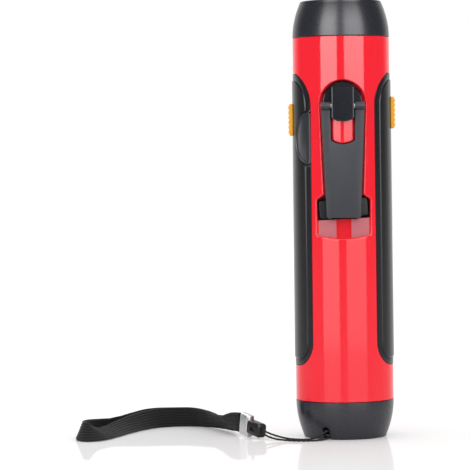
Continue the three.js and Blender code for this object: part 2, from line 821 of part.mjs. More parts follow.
function frontLugs() {
  const far = bodyRadiusBottom;
  const hubPlug = facing(disc(recessRadius + floorThickness, recessFloorInner, far, mediumSegments)
    .translate(0, hubZ, 0));
  const wellBox = facing(block([-wellHalf - wellWall, wellHalf + wellWall],
    [shelfBottomZ - wellWall, knobZ + wellHalf + wellWall], [wellFloor - wellWall, far]));
  const channelBack = facing(block([-wellHalf, wellHalf], [knobZ, hubZ],
    [channelFloor - floorThickness, far]));
  const posts = platePosts().map(([x, z]) => frontDisc(platePostRadius, z, wheelOut, far, x));
  return [hubPlug, wellBox, channelBack, ...posts].map(toSolid);
}

function platePosts() {
  return [[0, platePostHighZ], [-platePostX, platePostLowZ], [platePostX, platePostLowZ]];
}

const screwPlaces = [[-screwX, lowScrewZ], [screwX, lowScrewZ], [-screwX, highScrewZ], [screwX, highScrewZ]];

// Both half shells are one moulded tube, parted at the plane y = 0.
function makeShells(bulkheadTop) {
  const low = bodyBottom;
  const high = bodyTop;
  const tube = toSolid(turned([
    [shellInner, low], [bodyRadius(low), low], [bodyRadius(high), high], [shellInner, high],
  ], bodySegments));
  const core = toSolid(turned([
    [0, low + weld], [bodyRadius(low) - weld, low + weld],
    [bodyRadius(high) - weld, high - weld], [0, high - weld],
  ], bodySegments));
  const bulkhead = toSolid(ring(bulkheadHole, shellInner + weld,
    bulkheadTop - bulkheadThickness, bulkheadTop, bodySegments));
  const recesses = [-1, 1].map((side) => toSolid(wrappedPlate({
    ...bentOutline(side, 0, clearance),
    inner: (z) => bodyRadius(z) - panelDepth,
    outer: (z) => bodyRadius(z) + overrun,
  })));
  const slots = [-1, 1].map(switchSlot);
  const whole = cut(join(tube, bulkhead), ...recesses, ...slots);

  const far = bodyRadiusBottom + overrun;
  const frontBosses = screwPlaces.map(([x, z]) => toSolid(frontDisc(bossRadius, z, 0, far, x)));
  const frontHoles = screwPlaces.map(([x, z]) =>
    toSolid(frontDisc(screwShankRadius + clearance, z, -overrun, screwLength - screwSeatY + clearance, x,
      tinySegments)));
  const plateHoles = platePosts().map(([x, z]) =>
    toSolid(frontDisc(plateScrewRadius + clearance, z, wheelOut - overrun,
      plateOut + plateScrewLength + clearance, x, tinySegments)));
  const bushHole = toSolid(frontDisc(shaftRadius + clearance + bushWall + clearance, hubZ,
    recessFloorInner - overrun, recessFloor + overrun));
  const axleHole = toSolid(frontDisc(axleRadius + axleGap, compoundZ,
    recessFloorInner - overrun, recessFloorInner + floorThickness, 0, tinySegments));
  const frontHalf = toSolid(block([-far, far], [-far, -seamGap / 2], [low - overrun, high + overrun]));
  const inside = [...frontLugs(), ...frontBosses].map((lug) => lug.intersect(core));
  const front = cut(join(whole, ...inside).intersect(frontHalf), ...frontRecesses(),
    ...recesses, ...frontHoles, ...plateHoles, bushHole, axleHole, ...socketHoles());

  const backHalf = toSolid(block([-far, far], [seamGap / 2, far], [low - overrun, high + overrun]));
  const backBosses = screwPlaces.map(([x, z]) =>
    toSolid(frontDisc(bossRadius + clearance, z, -far, -seamGap / 2, x)));
  const boardPosts = boardPostPlaces().map(([x, z]) =>
    toSolid(frontDisc(boardPostRadius, z, -far, -mainBoardY - boardThickness - clearance, x)));
  const backHoles = screwPlaces.map(([x, z]) => toSolid(facing(turned([
    [0, -far], [screwHeadRadius + clearance, -far], [screwHeadRadius + clearance, -screwSeatY],
    [screwShankRadius + clearance, -screwSeatY], [screwShankRadius + clearance, overrun], [0, overrun],
  ], tinySegments).translate(x, z, 0))));
  const backInside = [...backBosses, ...boardPosts].map((lug) => lug.intersect(core));
  const back = cut(join(whole, ...backInside).intersect(backHalf), ...recesses, ...backHoles);
  return [piece('front_shell', front, red), piece('back_shell', back, red)];
}

function makeCaseScrews() {
  const outline = [
    [0, -screwLength], [screwShankRadius, -screwLength], [screwShankRadius, clearance],
    [screwHeadRadius, clearance], [screwHeadRadius, screwHeadHeight],
    [screwHeadRadius / 3, screwHeadHeight], [0, screwHeadHeight / 2],
  ];
  return screwPlaces.map(([x, z], i) => {
    const mesh = piece(`case_screw_${i + 1}`, toSolid(turned(outline, tinySegments)), steel);
    mesh.position.set(x, screwSeatY, z);
    mesh.rotation.x = -Math.PI / 2;
    return mesh;
  });
}

// Crank: hub, hinge block and pin, forked arm, knob and its screw
function makeCrank() {
  const group = frontGroup();
  const hub = join(
    toSolid(disc(hubRadius, hubBack, hubFace, mediumSegments)),
    toSolid(disc(shaftRadius, plateOut - gearPlateThickness, hubBack + weld)),
  );
  const hubMesh = piece('crank_hub', hub, slate);
  hubMesh.position.y = hubZ;
  group.add(hubMesh);

  const bush = ring(shaftRadius + clearance, shaftRadius + clearance + bushWall,
    recessFloorInner, recessFloor);
  const bushMesh = piece('hub_bush', toSolid(bush), brass);
  bushMesh.position.y = hubZ;
  group.add(bushMesh);

  const blockFoot = hubFace + clearance;
  const profile = disc(hubRadius, blockFoot, blockFace, mediumSegments);
  const strip = block([-blockWidth / 2, blockWidth / 2], [-hubRadius, hubRadius],
    [blockFoot, blockFace]);
  const pinHole = disc(pinRadius + axleGap, -blockWidth, blockWidth, tinySegments)
    .rotateY(Math.PI / 2).translate(0, pinZ - hubZ, pinOut);
  const blockSolid = cut(toSolid(profile).intersect(toSolid(strip)), toSolid(pinHole));
  const blockMesh = piece('hinge_block', blockSolid, slate);
  blockMesh.position.y = hubZ;
  group.add(blockMesh);

  const pin = disc(pinRadius, -armHalfTop, armHalfTop, tinySegments).rotateY(Math.PI / 2);
  const pinMesh = piece('hinge_pin', toSolid(pin), steel);
  pinMesh.position.set(0, pinZ, pinOut);
  group.add(pinMesh);

  const plate = toSolid(slab(armShape(), armInner, armOuter));
  const knuckles = [-1, 1].map((side) => {
    const ends = [side * prongInner, side * armHalfTop].sort((a, b) => a - b);
    return toSolid(disc(knuckleRadius, ...ends, smallSegments)
      .rotateY(Math.PI / 2).translate(0, pinZ, pinOut));
  });
  const post = disc(knobPostRadius, knobOuter + clearance, armInner + weld)
    .translate(0, knobZ, 0);
  const pinBore = disc(pinRadius + axleGap, -armHalfTop - overrun, armHalfTop + overrun, tinySegments)
    .rotateY(Math.PI / 2).translate(0, pinZ, pinOut);
  const screwBore = disc(knobScrewRadius + axleGap, knobOuter, armOuter - knobScrewCover,
    tinySegments).translate(0, knobZ, 0);
  const arm = cut(join(plate, ...knuckles, toSolid(post)), toSolid(pinBore), toSolid(screwBore));
  group.add(piece('crank_arm', arm, armGrey));

  group.add(makeKnob());

  const screwEnd = armOuter - knobScrewCover - clearance;
  const screwOutline = [
    [0, knobInner], [knobScrewHeadRadius, knobInner],
    [knobScrewHeadRadius, knobInner + knobScrewHeadHeight],
    [knobScrewRadius, knobInner + knobScrewHeadHeight],
    [knobScrewRadius, screwEnd], [0, screwEnd],
  ];
  const knobScrew = piece('knob_screw', toSolid(turned(screwOutline, tinySegments)), steel);
  knobScrew.position.y = knobZ;
  group.add(knobScrew);
  return group;
}

// The knob is a bar with rounded corners and rims, lying across the arm.
function makeKnob() {
  const rings = [];
  const steps = curveSegments / 2;
  const corners = [[1, 1], [1, -1], [-1, -1], [-1, 1]];
  const rim = (inset, out) => corners.flatMap(([sideX, sideY], quarter) =>
    Array.from({ length: steps + 1 }, (_, i) => {
      const turn = (quarter + i / steps) * (Math.PI / 2);
      const radius = knobCorner - inset;
      return [sideX * (knobLength / 2 - knobCorner) + radius * Math.sin(turn),
        sideY * (knobWidth / 2 - knobCorner) + radius * Math.cos(turn), out];
    }));
  for (let i = 0; i <= steps; i += 1) {
    const turn = ((i / steps) * Math.PI) / 2;
    rings.push(rim(knobRounding * (1 - Math.sin(turn)), knobInner + knobRounding * (1 - Math.cos(turn))));
  }
  for (let i = 0; i <= steps; i += 1) {
    const turn = ((1 - i / steps) * Math.PI) / 2;
    rings.push(rim(knobRounding * (1 - Math.sin(turn)), knobOuter - knobRounding * (1 - Math.cos(turn))));
  }
  const bore = disc(knobScrewRadius + axleGap, knobInner - overrun, knobOuter + overrun, tinySegments);
  const headBore = disc(knobScrewHeadRadius + clearance, knobInner - overrun,
    knobInner + knobScrewHeadHeight + clearance);
  const knob = cut(toSolid(loft(rings)), toSolid(bore), toSolid(headBore));
  const mesh = piece('crank_knob', knob, slate);
  mesh.position.y = knobZ;
  return mesh;
}

// Gears with involute flanks
function gearShape(teeth, turn) {
  const pitch = (gearModule * teeth) / 2;
  const base = pitch * Math.cos(pressureAngle);
  const tip = pitch + gearModule * addendumShare;
  const root = pitch - gearModule * dedendumShare;
  const flare = (radius) => {
    const angle = Math.acos(Math.min(base / radius, 1));
    return Math.tan(angle) - angle;
  };
  const halfAtPitch = (Math.PI / 2) / teeth - backlash / 2 / pitch;
  const halfAt = (radius) => halfAtPitch + flare(pitch) - flare(Math.max(radius, base));
  const flank = [root, Math.max(base, root), pitch, tip];
  const points = [];
  for (let tooth = 0; tooth < teeth; tooth += 1) {
    const middle = (tooth / teeth) * 2 * Math.PI + turn;
    flank.forEach((radius) => points.push([radius, middle - halfAt(radius)]));
    [...flank].reverse().forEach((radius) => points.push([radius, middle + halfAt(radius)]));
  }
  return shapeOf(points.map(([radius, angle]) => [radius * Math.cos(angle), radius * Math.sin(angle)]));
}

function makeGearTrain() {
  const group = frontGroup();
  const down = -Math.PI / 2;
  const up = Math.PI / 2;
  const toothTurn = (teeth) => Math.PI / teeth;

  const drive = cut(toSolid(slab(gearShape(driveTeeth, down), driveOut, driveOut + gearFace)),
    toSolid(disc(shaftRadius + axleGap, driveOut - overrun, driveOut + gearFace + overrun)));
  const driveMesh = piece('drive_gear', drive, whitePlastic);
  driveMesh.position.y = hubZ;
  group.add(driveMesh);

  const pinion = slab(gearShape(pinionTeeth, up + toothTurn(pinionTeeth)), driveOut - clearance,
    driveOut + gearFace);
  const wheel = slab(gearShape(wheelTeeth, down), wheelOut, wheelOut + gearFace);
  const collar = disc(gearModule * (pinionTeeth / 2 - dedendumShare), wheelOut, driveOut + weld);
  const compoundBore = disc(axleRadius + axleGap, wheelOut - overrun, driveOut + gearFace + overrun,
    tinySegments);
  const compound = cut(join(toSolid(pinion), toSolid(wheel), toSolid(collar)), toSolid(compoundBore));
  const compoundMesh = piece('compound_gear', compound, whitePlastic);
  compoundMesh.position.y = compoundZ;
  group.add(compoundMesh);

  const axle = disc(axleRadius, plateOut, recessFloorInner + floorThickness / 2, tinySegments);
  const axleMesh = piece('compound_axle', toSolid(axle), steel);
  axleMesh.position.y = compoundZ;
  group.add(axleMesh);

  const plateDepth = [plateOut, plateOut + gearPlateThickness];
  const plateTop = highScrewZ - bossRadius - clearance;
  const footTop = switchCentreZ - switchBoardLength / 2 - clearance;
  const plateBody = join(
    toSolid(block([-gearPlateFootHalf, gearPlateFootHalf], [platePostLowZ - platePostRadius, footTop],
      plateDepth)),
    toSolid(block([-gearPlateHalf, gearPlateHalf], [footTop - weld, plateTop], plateDepth)),
    toSolid(block([-platePostRadius, platePostRadius], [hubZ, platePostHighZ + platePostRadius], plateDepth)),
  );
  const through = (radius, z, x = 0) => toSolid(disc(radius, plateOut - overrun,
    plateOut + gearPlateThickness + overrun, tinySegments).translate(x, z, 0));
  const plate = cut(plateBody, through(shaftRadius + axleGap, hubZ),
    through(axleRadius + axleGap, compoundZ), through(axleRadius + axleGap, rotorZ),
    ...platePosts().map(([x, z]) => through(plateScrewRadius + clearance, z, x)));
  group.add(piece('gear_plate', plate, steel));

  const screwOutline = [
    [0, -plateScrewHeadHeight - clearance], [plateScrewHeadRadius, -plateScrewHeadHeight - clearance],
    [plateScrewHeadRadius, -clearance], [plateScrewRadius, -clearance],
    [plateScrewRadius, plateScrewLength], [0, plateScrewLength],
  ];
  platePosts().forEach(([x, z], i) => {
    const screw = piece(`gear_plate_screw_${i + 1}`, toSolid(turned(screwOutline, tinySegments)), steel);
    screw.position.set(x, z, plateOut);
    group.add(screw);
  });
  return group;
}

function makeGenerator() {
  const group = frontGroup(rotorZ);
  const up = Math.PI / 2;
  const back = housingOut - housingLength;
  const magnetFront = housingOut - housingWall - clearance - magnetEndGap;
  const magnetBack = magnetFront - magnetLength;

  const pinion = slab(gearShape(pinionTeeth, up + Math.PI / pinionTeeth), wheelOut,
    wheelOut + gearFace);
  const spindle = disc(axleRadius, back, wheelOut + gearFace, tinySegments);
  const rotor = join(toSolid(pinion), toSolid(spindle));
  group.add(piece('rotor', rotor, steel));

  const magnet = ring(axleRadius + axleGap, magnetRadius, magnetBack, magnetFront, smallSegments);
  group.add(piece('rotor_magnet', toSolid(magnet), magnetGrey));

  const coilFront = housingOut - housingWall - clearance;
  const coil = ring(coilInner, coilOuter, coilFront - coilLength, coilFront, mediumSegments);
  group.add(piece('generator_coil', toSolid(coil), copper));

  const hole = axleRadius + axleGap;
  const housing = turned([
    [hole, back + housingWall], [hole, back], [housingRadius, back], [housingRadius, housingOut],
    [housingRadius - housingWall, housingOut], [housingRadius - housingWall, back + housingWall],
  ], mediumSegments);
  group.add(piece('generator_housing', toSolid(housing), steel));
  return group;
}

// Slide switches: button, switch and its small board
function makeSwitch(name, side, restShift) {
  const group = new THREE.Group();
  group.position.z = switchCentreZ;
  group.rotation.z = side > 0 ? 0 : Math.PI;
  const foot = bodyRadiusBottom + panelProud + clearance;
  const face = foot + buttonProud;
  const stemTip = switchFace - switchSlotDepth + clearance;
  const points = [[foot, -buttonLength / 2], [face - ribDepth, -buttonLength / 2]];
  const firstRib = (-ribPitch * (ribCount - 1)) / 2;
  for (let i = 0; i < ribCount; i += 1) {
    const middle = firstRib + ribPitch * i;
    points.push([face - ribDepth, middle - ribPitch * ribFootShare],
      [face, middle - ribPitch * ribTipShare], [face, middle + ribPitch * ribTipShare],
      [face - ribDepth, middle + ribPitch * ribFootShare]);
  }
  points.push([face - ribDepth, buttonLength / 2], [foot, buttonLength / 2]);
  const bodyGeometry = slab(shapeOf(points), -buttonWidth / 2, buttonWidth / 2).rotateX(Math.PI / 2);
  const stem = block([stemTip, foot + weld], [-stemWidth / 2, stemWidth / 2],
    [-stemLength / 2, stemLength / 2]);
  const button = piece(`${name}_button`, join(toSolid(bodyGeometry), toSolid(stem)), amber);
  button.position.z = restShift;
  group.add(button);

  const body = block([switchFace - switchDepth, switchFace], [-switchWidth / 2, switchWidth / 2],
    [-switchLength / 2, switchLength / 2]);
  const slot = block([switchFace - switchSlotDepth, switchFace + overrun],
    [-stemWidth / 2 - clearance, stemWidth / 2 + clearance],
    [-(stemLength + switchTravel) / 2 - clearance, (stemLength + switchTravel) / 2 + clearance]);
  group.add(piece(name, cut(toSolid(body), toSolid(slot)), steel));

  const board = block([switchBoardFace - boardThickness, switchBoardFace],
    [-switchBoardWidth / 2, switchBoardWidth / 2], [-switchBoardLength / 2, switchBoardLength / 2]);
  group.add(piece(`${name}_board`, toSolid(board), boardGreen));
  return group;
}

// Main board on four posts of the back shell
function boardPostPlaces() {
  const x = mainBoardHalf - boardPostInset;
  return [-x, x].flatMap((side) => [[side, mainBoardBottom + boardPostInset],
    [side, mainBoardTop - boardPostInset]]);
}

function makeMainBoard() {
  const board = block([-mainBoardHalf, mainBoardHalf], [mainBoardY, mainBoardY + boardThickness],
    [mainBoardBottom, mainBoardTop]);
  return piece('main_board', toSolid(board), boardGreen);
}

// Three cells stand in a holder above the tail cap
function makeBattery() {
  const group = new THREE.Group();
  const circle = (cellRadius + clearance / 2) * 2 / Math.sqrt(3) + clearance;
  const cellOutline = [
    [0, 0], [cellRadius, 0], [cellRadius, cellHeight - cellButtonHeight],
    [cellButtonRadius, cellHeight - cellButtonHeight], [cellButtonRadius, cellHeight],
    [0, cellHeight],
  ];
  for (let i = 0; i < cellCount; i += 1) {
    const turn = (i / cellCount) * 2 * Math.PI + Math.PI / 2;
    const cell = piece(`battery_cell_${i + 1}`, toSolid(turned(cellOutline)), cellWrap);
    cell.position.set(circle * Math.cos(turn), circle * Math.sin(turn), cellBottomZ);
    group.add(cell);
  }
  const low = cellBottomZ - contactStack;
  const high = cellBottomZ + cellHeight + contactStack;
  const plates = [disc(holderRadius, holderBottomZ, low, mediumSegments),
    disc(holderRadius, high, holderTopZ, mediumSegments)];
  const struts = Array.from({ length: cellCount }, (_, i) =>
    block([holderRadius - clearance - holderStrutDepth, holderRadius - clearance],
      [-holderStrutWidth / 2, holderStrutWidth / 2], [low - weld, high + weld])
      .rotateZ((i / cellCount) * 2 * Math.PI - Math.PI / 2));
  group.add(piece('battery_holder', join(...[...plates, ...struts].map(toSolid)), satinBlack));

  const contact = (name, z) => group.add(piece(name,
    toSolid(disc(contactRadius, z, z + contactThickness, mediumSegments)), steel));
  contact('contact_plate_bottom', low + clearance);
  contact('contact_plate_top', high - clearance - contactThickness);
  return group;
}

// Wrist strap. The lists are places on the table, chosen by hand. The webbing's are x, y, the lift of
// its lower edge and its lean in degrees; the string's are x, y, z.
const doubledRun = [
  [-52.0, 1.5, 1.9, 8], [-54.9, 5.9, 1.9, 12], [-58.2, 14.5, 0.9, 22], [-62.6, 26.0, 0.2, 30],
  [-70.5, 40.5, 0, 25], [-80.5, 48.8, 0, 15], [-90.0, 46.5, 0, 12], [-99.0, 37.0, 0, 15],
  [-107.0, 22.0, 0, 20], [-112.5, 7.5, 0, 30],
];
const loopRun = [
  [-115.8, -5.0, 0, 42], [-119.6, -16.5, 0, 45], [-124.0, -23.6, 0, 30],
  [-129.3, -23.4, 0, 15], [-132.0, -16.8, 0, 10], [-130.4, -9.2, 0, 5],
  [-125.4, -2.4, 0, -5], [-119.4, 4.6, 0, -15],
];
const endCapEnd = [-40.6, -15.2, 3.9];
const stringRun = [
  [-40.9, -14.9, 4.75], [-38.6, -17.4, 3.7], [-34.0, -19.2, 2.2], [-29.0, -20.4, 1.1],
  [-23.5, -21.6, 0.7], [-18.0, -22.6, 0.9], [-13.8, -22.9, 2.2], [-10.8, -21.6, 3.9],
  [-9.6, -19.0, 4.4], [-8.3, -16.4, 3.9], [-7.5, -14.9, 2.6], [-7.6, -15.0, 1.2],
  [-8.7, -17.2, 0.7], [-10.4, -20.6, 0.65], [-12.6, -24.2, 0.65], [-17.2, -26.8, 0.65],
  [-23.0, -26.6, 0.65], [-29.0, -24.4, 0.65], [-34.5, -21.4, 1.0], [-38.7, -18.3, 2.0],
  [-41.0, -14.8, 3.15],
];

function crimpFrame() {
  const [x, y, lift, lean] = doubledRun[0];
  const start = new THREE.Vector3(x, y, lift + webbingRise(lean * degree));
  const aim = new THREE.Vector3(...endCapEnd).sub(start).normalize();
  const side = new THREE.Vector3().crossVectors(new THREE.Vector3(0, 0, 1), aim).normalize();
  const up = new THREE.Vector3().crossVectors(aim, side).normalize();
  return new THREE.Matrix4().makeBasis(side, up, aim).setPosition(start);
}

// How high the middle of leaning webbing is when its lower edge touches the table.
function webbingRise(lean) {
  return (webbingWidth * Math.cos(lean) + webbingThickness * Math.abs(Math.sin(lean))) / 2;
}

function webbingRings() {
  const offset = (sign) => doubledRun.map(([x, y, lift, lean], i) => {
    const before = doubledRun[Math.max(i - 1, 0)];
    const after = doubledRun[Math.min(i + 1, doubledRun.length - 1)];
    const along = new THREE.Vector2(after[0] - before[0], after[1] - before[1]).normalize();
    const shift = (sign * layerPitch) / 2;
    return [x - along.y * shift, y + along.x * shift, lift, sign * lean];
  });
  const route = [...offset(1), ...loopRun, ...offset(-1).reverse()];
  const points = route.map(([x, y, lift, lean]) =>
    new THREE.Vector3(x, y, lift + webbingRise(lean * degree)));
  const curve = new THREE.CatmullRomCurve3(points, false, 'centripetal');
  const rings = [];
  const steps = (route.length - 1) * webbingStepsPerPoint;
  for (let i = 0; i <= steps; i += 1) {
    const place = i / webbingStepsPerPoint;
    const at = Math.min(Math.floor(place), route.length - 2);
    const mix = (column) => THREE.MathUtils.lerp(route[at][column], route[at + 1][column], place - at);
    const lean = mix(3) * degree;
    const along = curve.getTangent(i / steps);
    const side = new THREE.Vector3(-along.y, along.x, 0).normalize();
    const upright = new THREE.Vector3().crossVectors(along, side);
    const width = upright.multiplyScalar(Math.cos(lean)).addScaledVector(side, Math.sin(lean));
    const normal = new THREE.Vector3().crossVectors(along, width).normalize();
    const centre = curve.getPoint(i / steps).setZ(mix(2) + webbingRise(lean));
    const corners = [[-1, -1], [1, -1], [1, 1], [-1, 1]];
    rings.push(corners.map(([a, b]) => centre.clone()
      .addScaledVector(width, (a * webbingWidth) / 2)
      .addScaledVector(normal, (b * webbingThickness) / 2).toArray()));
  }
  return rings;
}

function makeStrap() {
  const group = new THREE.Group();
  group.add(piece('strap_webbing', toSolid(loft(webbingRings())), webbingBlack));

  const frame = crimpFrame();
  const halfUp = webbingWidth / 2 + crimpWall;
  const halfSide = (layerPitch + webbingThickness) / 2 + crimpWall;
  const crimpOuter = block([-halfSide, halfSide], [-halfUp, halfUp], [crimpGap, crimpLength]);
  const crimp = piece('strap_crimp', toSolid(crimpOuter), steel);
  crimp.applyMatrix4(frame);
  group.add(crimp);

  const section = new THREE.Shape();
  const [x, y] = [endCapThickness / 2, endCapHeight / 2];
  section.moveTo(-x + endCapCorner, -y);
  section.lineTo(x - endCapCorner, -y);
  section.quadraticCurveTo(x, -y, x, -y + endCapCorner);
  section.lineTo(x, y - endCapCorner);
  section.quadraticCurveTo(x, y, x - endCapCorner, y);
  section.lineTo(-x + endCapCorner, y);
  section.quadraticCurveTo(-x, y, -x, y - endCapCorner);
  section.lineTo(-x, -y + endCapCorner);
  section.quadraticCurveTo(-x, -y, -x + endCapCorner, -y);
  const cap = slab(section, crimpLength + clearance, crimpLength + endCapLength);
  const endCap = piece('strap_end_cap', toSolid(cap), satinBlack);
  endCap.applyMatrix4(frame);
  group.add(endCap);

  const path = new THREE.CatmullRomCurve3(stringRun.map((point) => new THREE.Vector3(...point)),
    false, 'centripetal');
  const round = [];
  for (let i = 0; i < stringSides; i += 1) {
    const turn = (i / stringSides) * 2 * Math.PI;
    round.push([(stringDiameter / 2) * Math.cos(turn), (stringDiameter / 2) * Math.sin(turn)]);
  }
  const string = new THREE.ExtrudeGeometry(shapeOf(round), { steps: stringSteps, extrudePath: path });
  group.add(piece('strap_string', toSolid(string), webbingBlack));
  return group;
}

const flashlight = new THREE.Group();
const head = makeHead();
flashlight.add(head.group, ...makeShells(head.bulkheadTop), makeTail());
flashlight.add(makePanel('left_grip_panel', -1), makePanel('right_grip_panel', 1));
flashlight.add(makePortCover(), makeUsbSocket(), makeDcJack());
flashlight.add(makeCrank(), makeGearTrain(), makeGenerator());
flashlight.add(makeSwitch('left_switch', -1, -switchTravel / 2));
flashlight.add(makeSwitch('right_switch', 1, switchTravel / 2));
flashlight.add(makeMainBoard(), makeBattery(), makeStrap(), ...makeCaseScrews());

export default flashlight;
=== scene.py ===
import json
from math import acos, asin, cos, pi, radians, sin, sqrt

import bmesh
import bpy
from mathutils import Matrix, Vector

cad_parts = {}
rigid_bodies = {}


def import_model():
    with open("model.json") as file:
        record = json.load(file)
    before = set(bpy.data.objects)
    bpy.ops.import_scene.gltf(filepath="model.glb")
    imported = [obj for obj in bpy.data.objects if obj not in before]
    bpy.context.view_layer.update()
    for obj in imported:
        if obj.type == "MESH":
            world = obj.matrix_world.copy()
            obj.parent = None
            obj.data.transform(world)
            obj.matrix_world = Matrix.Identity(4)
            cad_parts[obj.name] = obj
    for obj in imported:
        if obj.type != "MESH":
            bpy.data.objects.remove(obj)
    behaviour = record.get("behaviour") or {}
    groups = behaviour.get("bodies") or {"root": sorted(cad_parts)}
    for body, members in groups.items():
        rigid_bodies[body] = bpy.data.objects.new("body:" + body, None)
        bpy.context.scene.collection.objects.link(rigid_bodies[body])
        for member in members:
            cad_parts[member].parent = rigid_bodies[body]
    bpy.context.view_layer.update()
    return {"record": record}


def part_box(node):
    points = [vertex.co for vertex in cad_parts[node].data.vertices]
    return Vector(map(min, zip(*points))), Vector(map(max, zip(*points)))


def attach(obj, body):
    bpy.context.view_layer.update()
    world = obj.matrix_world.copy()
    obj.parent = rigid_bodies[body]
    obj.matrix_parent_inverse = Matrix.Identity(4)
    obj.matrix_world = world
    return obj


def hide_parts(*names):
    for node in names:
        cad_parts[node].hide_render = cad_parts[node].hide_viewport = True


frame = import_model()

# Camera. It stands in front of the crank, a little to the left and level with the arm, and looks slightly
# down. It is turned a little to the left, so that the flashlight stands right of the middle.
MM = 0.001
CAMERA_DISTANCE = 1.2
CAMERA_HEIGHT = 0.1338
CAMERA_AZIMUTH = radians(1.4)
CAMERA_TURN = radians(2.578)
CAMERA_PITCH = radians(1.56)
CAMERA_ROLL = radians(-0.765)
PHOTO_WIDTH = 470
FOCAL_PIXELS = 2400
camera_data = bpy.data.cameras.new("photo_camera")
camera_data.sensor_width = 36
camera_data.lens = camera_data.sensor_width * FOCAL_PIXELS / PHOTO_WIDTH
camera = bpy.data.objects.new("photo_camera", camera_data)
camera.matrix_world = (
    Matrix.Translation((-CAMERA_DISTANCE * sin(CAMERA_AZIMUTH),
                        -CAMERA_DISTANCE * cos(CAMERA_AZIMUTH), CAMERA_HEIGHT))
    @ Matrix.Rotation(CAMERA_TURN - CAMERA_AZIMUTH, 4, "Z")
    @ Matrix.Rotation(radians(90) - CAMERA_PITCH, 4, "X")
    @ Matrix.Rotation(CAMERA_ROLL, 4, "Z"))
bpy.context.scene.collection.objects.link(camera)
bpy.context.scene.camera = camera


# Strap string. A thin black cord of three twisted strands leaves the strap's plastic end, passes through
# the lanyard eye in the tail cap and comes back as a loop.
def make_object(name, points, faces):
    mesh = bpy.data.meshes.new(name)
    mesh.from_pydata([[c * MM for c in point] for point in points], [], faces)
    solid = bmesh.new()
    solid.from_mesh(mesh)
    bmesh.ops.remove_doubles(solid, verts=solid.verts, dist=1e-4 * MM)
    bmesh.ops.recalc_face_normals(solid, faces=solid.faces)
    solid.to_mesh(mesh)
    solid.free()
    made = bpy.data.objects.new(name, mesh)
    bpy.context.scene.collection.objects.link(made)
    return made


def loft(name, rings, closed=False, strip_ends=False):
    """A closed body through rings of points. Its ends are single faces, or strips between their sides."""
    count = len(rings[0])
    spans = len(rings) if closed else len(rings) - 1
    faces = []
    for i in range(spans):
        a, b = i * count, (i + 1) % len(rings) * count
        for j in range(count):
            k = (j + 1) % count
            faces.append((a + j, a + k, b + k, b + j))
    if not closed:
        for a in (0, spans * count):
            if strip_ends:
                faces += [(a + k, a + k + 1, a + count - 2 - k, a + count - 1 - k)
                          for k in range(count // 2 - 1)]
            else:
                faces.append(tuple(range(a, a + count)))
    return make_object(name, [point for ring in rings for point in ring], faces)


def shade(part, angle=30):
    part.data.polygons.foreach_set("use_smooth", [True] * len(part.data.polygons))
    part.data.set_sharp_from_angle(angle=radians(angle))


def smooth_path(points, step):
    """A smooth line through points: its place along the list, its position and its direction."""
    points = [Vector(point) for point in points]
    row = [2 * points[0] - points[1], *points, 2 * points[-1] - points[-2]]
    line = []
    for i, (before, start, end, after) in enumerate(zip(row, row[1:], row[2:], row[3:])):
        pairs = ((before, start), (start, end), (end, after))
        in_gap, gap, out_gap = (sqrt((b - a).length) for a, b in pairs)
        leave = gap * ((start - before) / in_gap - (end - before) / (in_gap + gap) + (end - start) / gap)
        arrive = gap * ((end - start) / gap - (after - start) / (gap + out_gap) + (after - end) / out_gap)
        count = max(1, round((end - start).length / step))
        for j in range(count + (i == len(points) - 2)):
            t = j / count
            place = (start * (2 * t**3 - 3 * t**2 + 1) + leave * (t**3 - 2 * t**2 + t)
                     + end * (3 * t**2 - 2 * t**3) + arrive * (t**3 - t**2))
            along = (start * (6 * t**2 - 6 * t) + leave * (3 * t**2 - 4 * t + 1)
                     + end * (6 * t - 6 * t**2) + arrive * (3 * t**2 - 2 * t))
            line.append((i + t, place, along.normalized()))
    return line


class Wire:
    """A socket of a material. Sums on it add the nodes that work them out."""

    def __init__(self, tree, socket=None):
        self.tree = tree
        self.socket = socket

    def add(self, kind, settings=(), inputs=(), out=0):
        node = self.tree.nodes.new("ShaderNode" + kind)
        for name, value in dict(settings).items():
            if name == "stops":
                ramp = node.color_ramp
                ramp.elements[0].position, ramp.elements[1].position = value[0][0], value[-1][0]
                for place, _ in value[1:-1]:
                    ramp.elements.new(place)
                for element, (_, colour) in zip(ramp.elements, value):
                    element.color = (*colour, 1)
            else:
                setattr(node, name, value)
        for name, value in dict(inputs).items():
            if isinstance(value, Wire):
                self.tree.links.new(value.socket, node.inputs[name])
            else:
                node.inputs[name].default_value = value
        return Wire(self.tree, node.outputs[out] if node.outputs else None)

    def maths(self, operation, *values):
        return self.add("Math", {"operation": operation}, enumerate(values))

    def __add__(self, other):
        return self.maths("ADD", self, other)

    def __sub__(self, other):
        return self.maths("SUBTRACT", self, other)

    def __rsub__(self, other):
        return self.maths("SUBTRACT", other, self)

    def __mul__(self, other):
        return self.maths("MULTIPLY", self, other)

    __radd__ = __add__
    __rmul__ = __mul__

    def mix(self, dark, light):
        """The colour between dark and light that this value picks."""
        return self.add("Mix", {"data_type": "RGBA"},
                        {0: self, 6: colour_of(dark), 7: colour_of(light)}, out=2)

    def coordinates(self, stretch=(1, 1, 1)):
        place = self.add("TexCoord", out=3)
        return self.add("Mapping", (), {"Vector": place, "Scale": stretch})

    def noise(self, scale, detail=2, stretch=(1, 1, 1)):
        return self.add("TexNoise", (),
                        {"Vector": self.coordinates(stretch), "Scale": scale, "Detail": detail})

    def bump(self, height, strength, distance):
        return self.add("Bump", (),
                        {"Height": height, "Strength": strength, "Distance": distance * MM})


def colour_of(value):
    return value if isinstance(value, Wire) else (*value, 1)


def new_material(name):
    material = bpy.data.materials.new(name)
    material.use_nodes = True
    material.node_tree.nodes.clear()
    return material, Wire(material.node_tree)


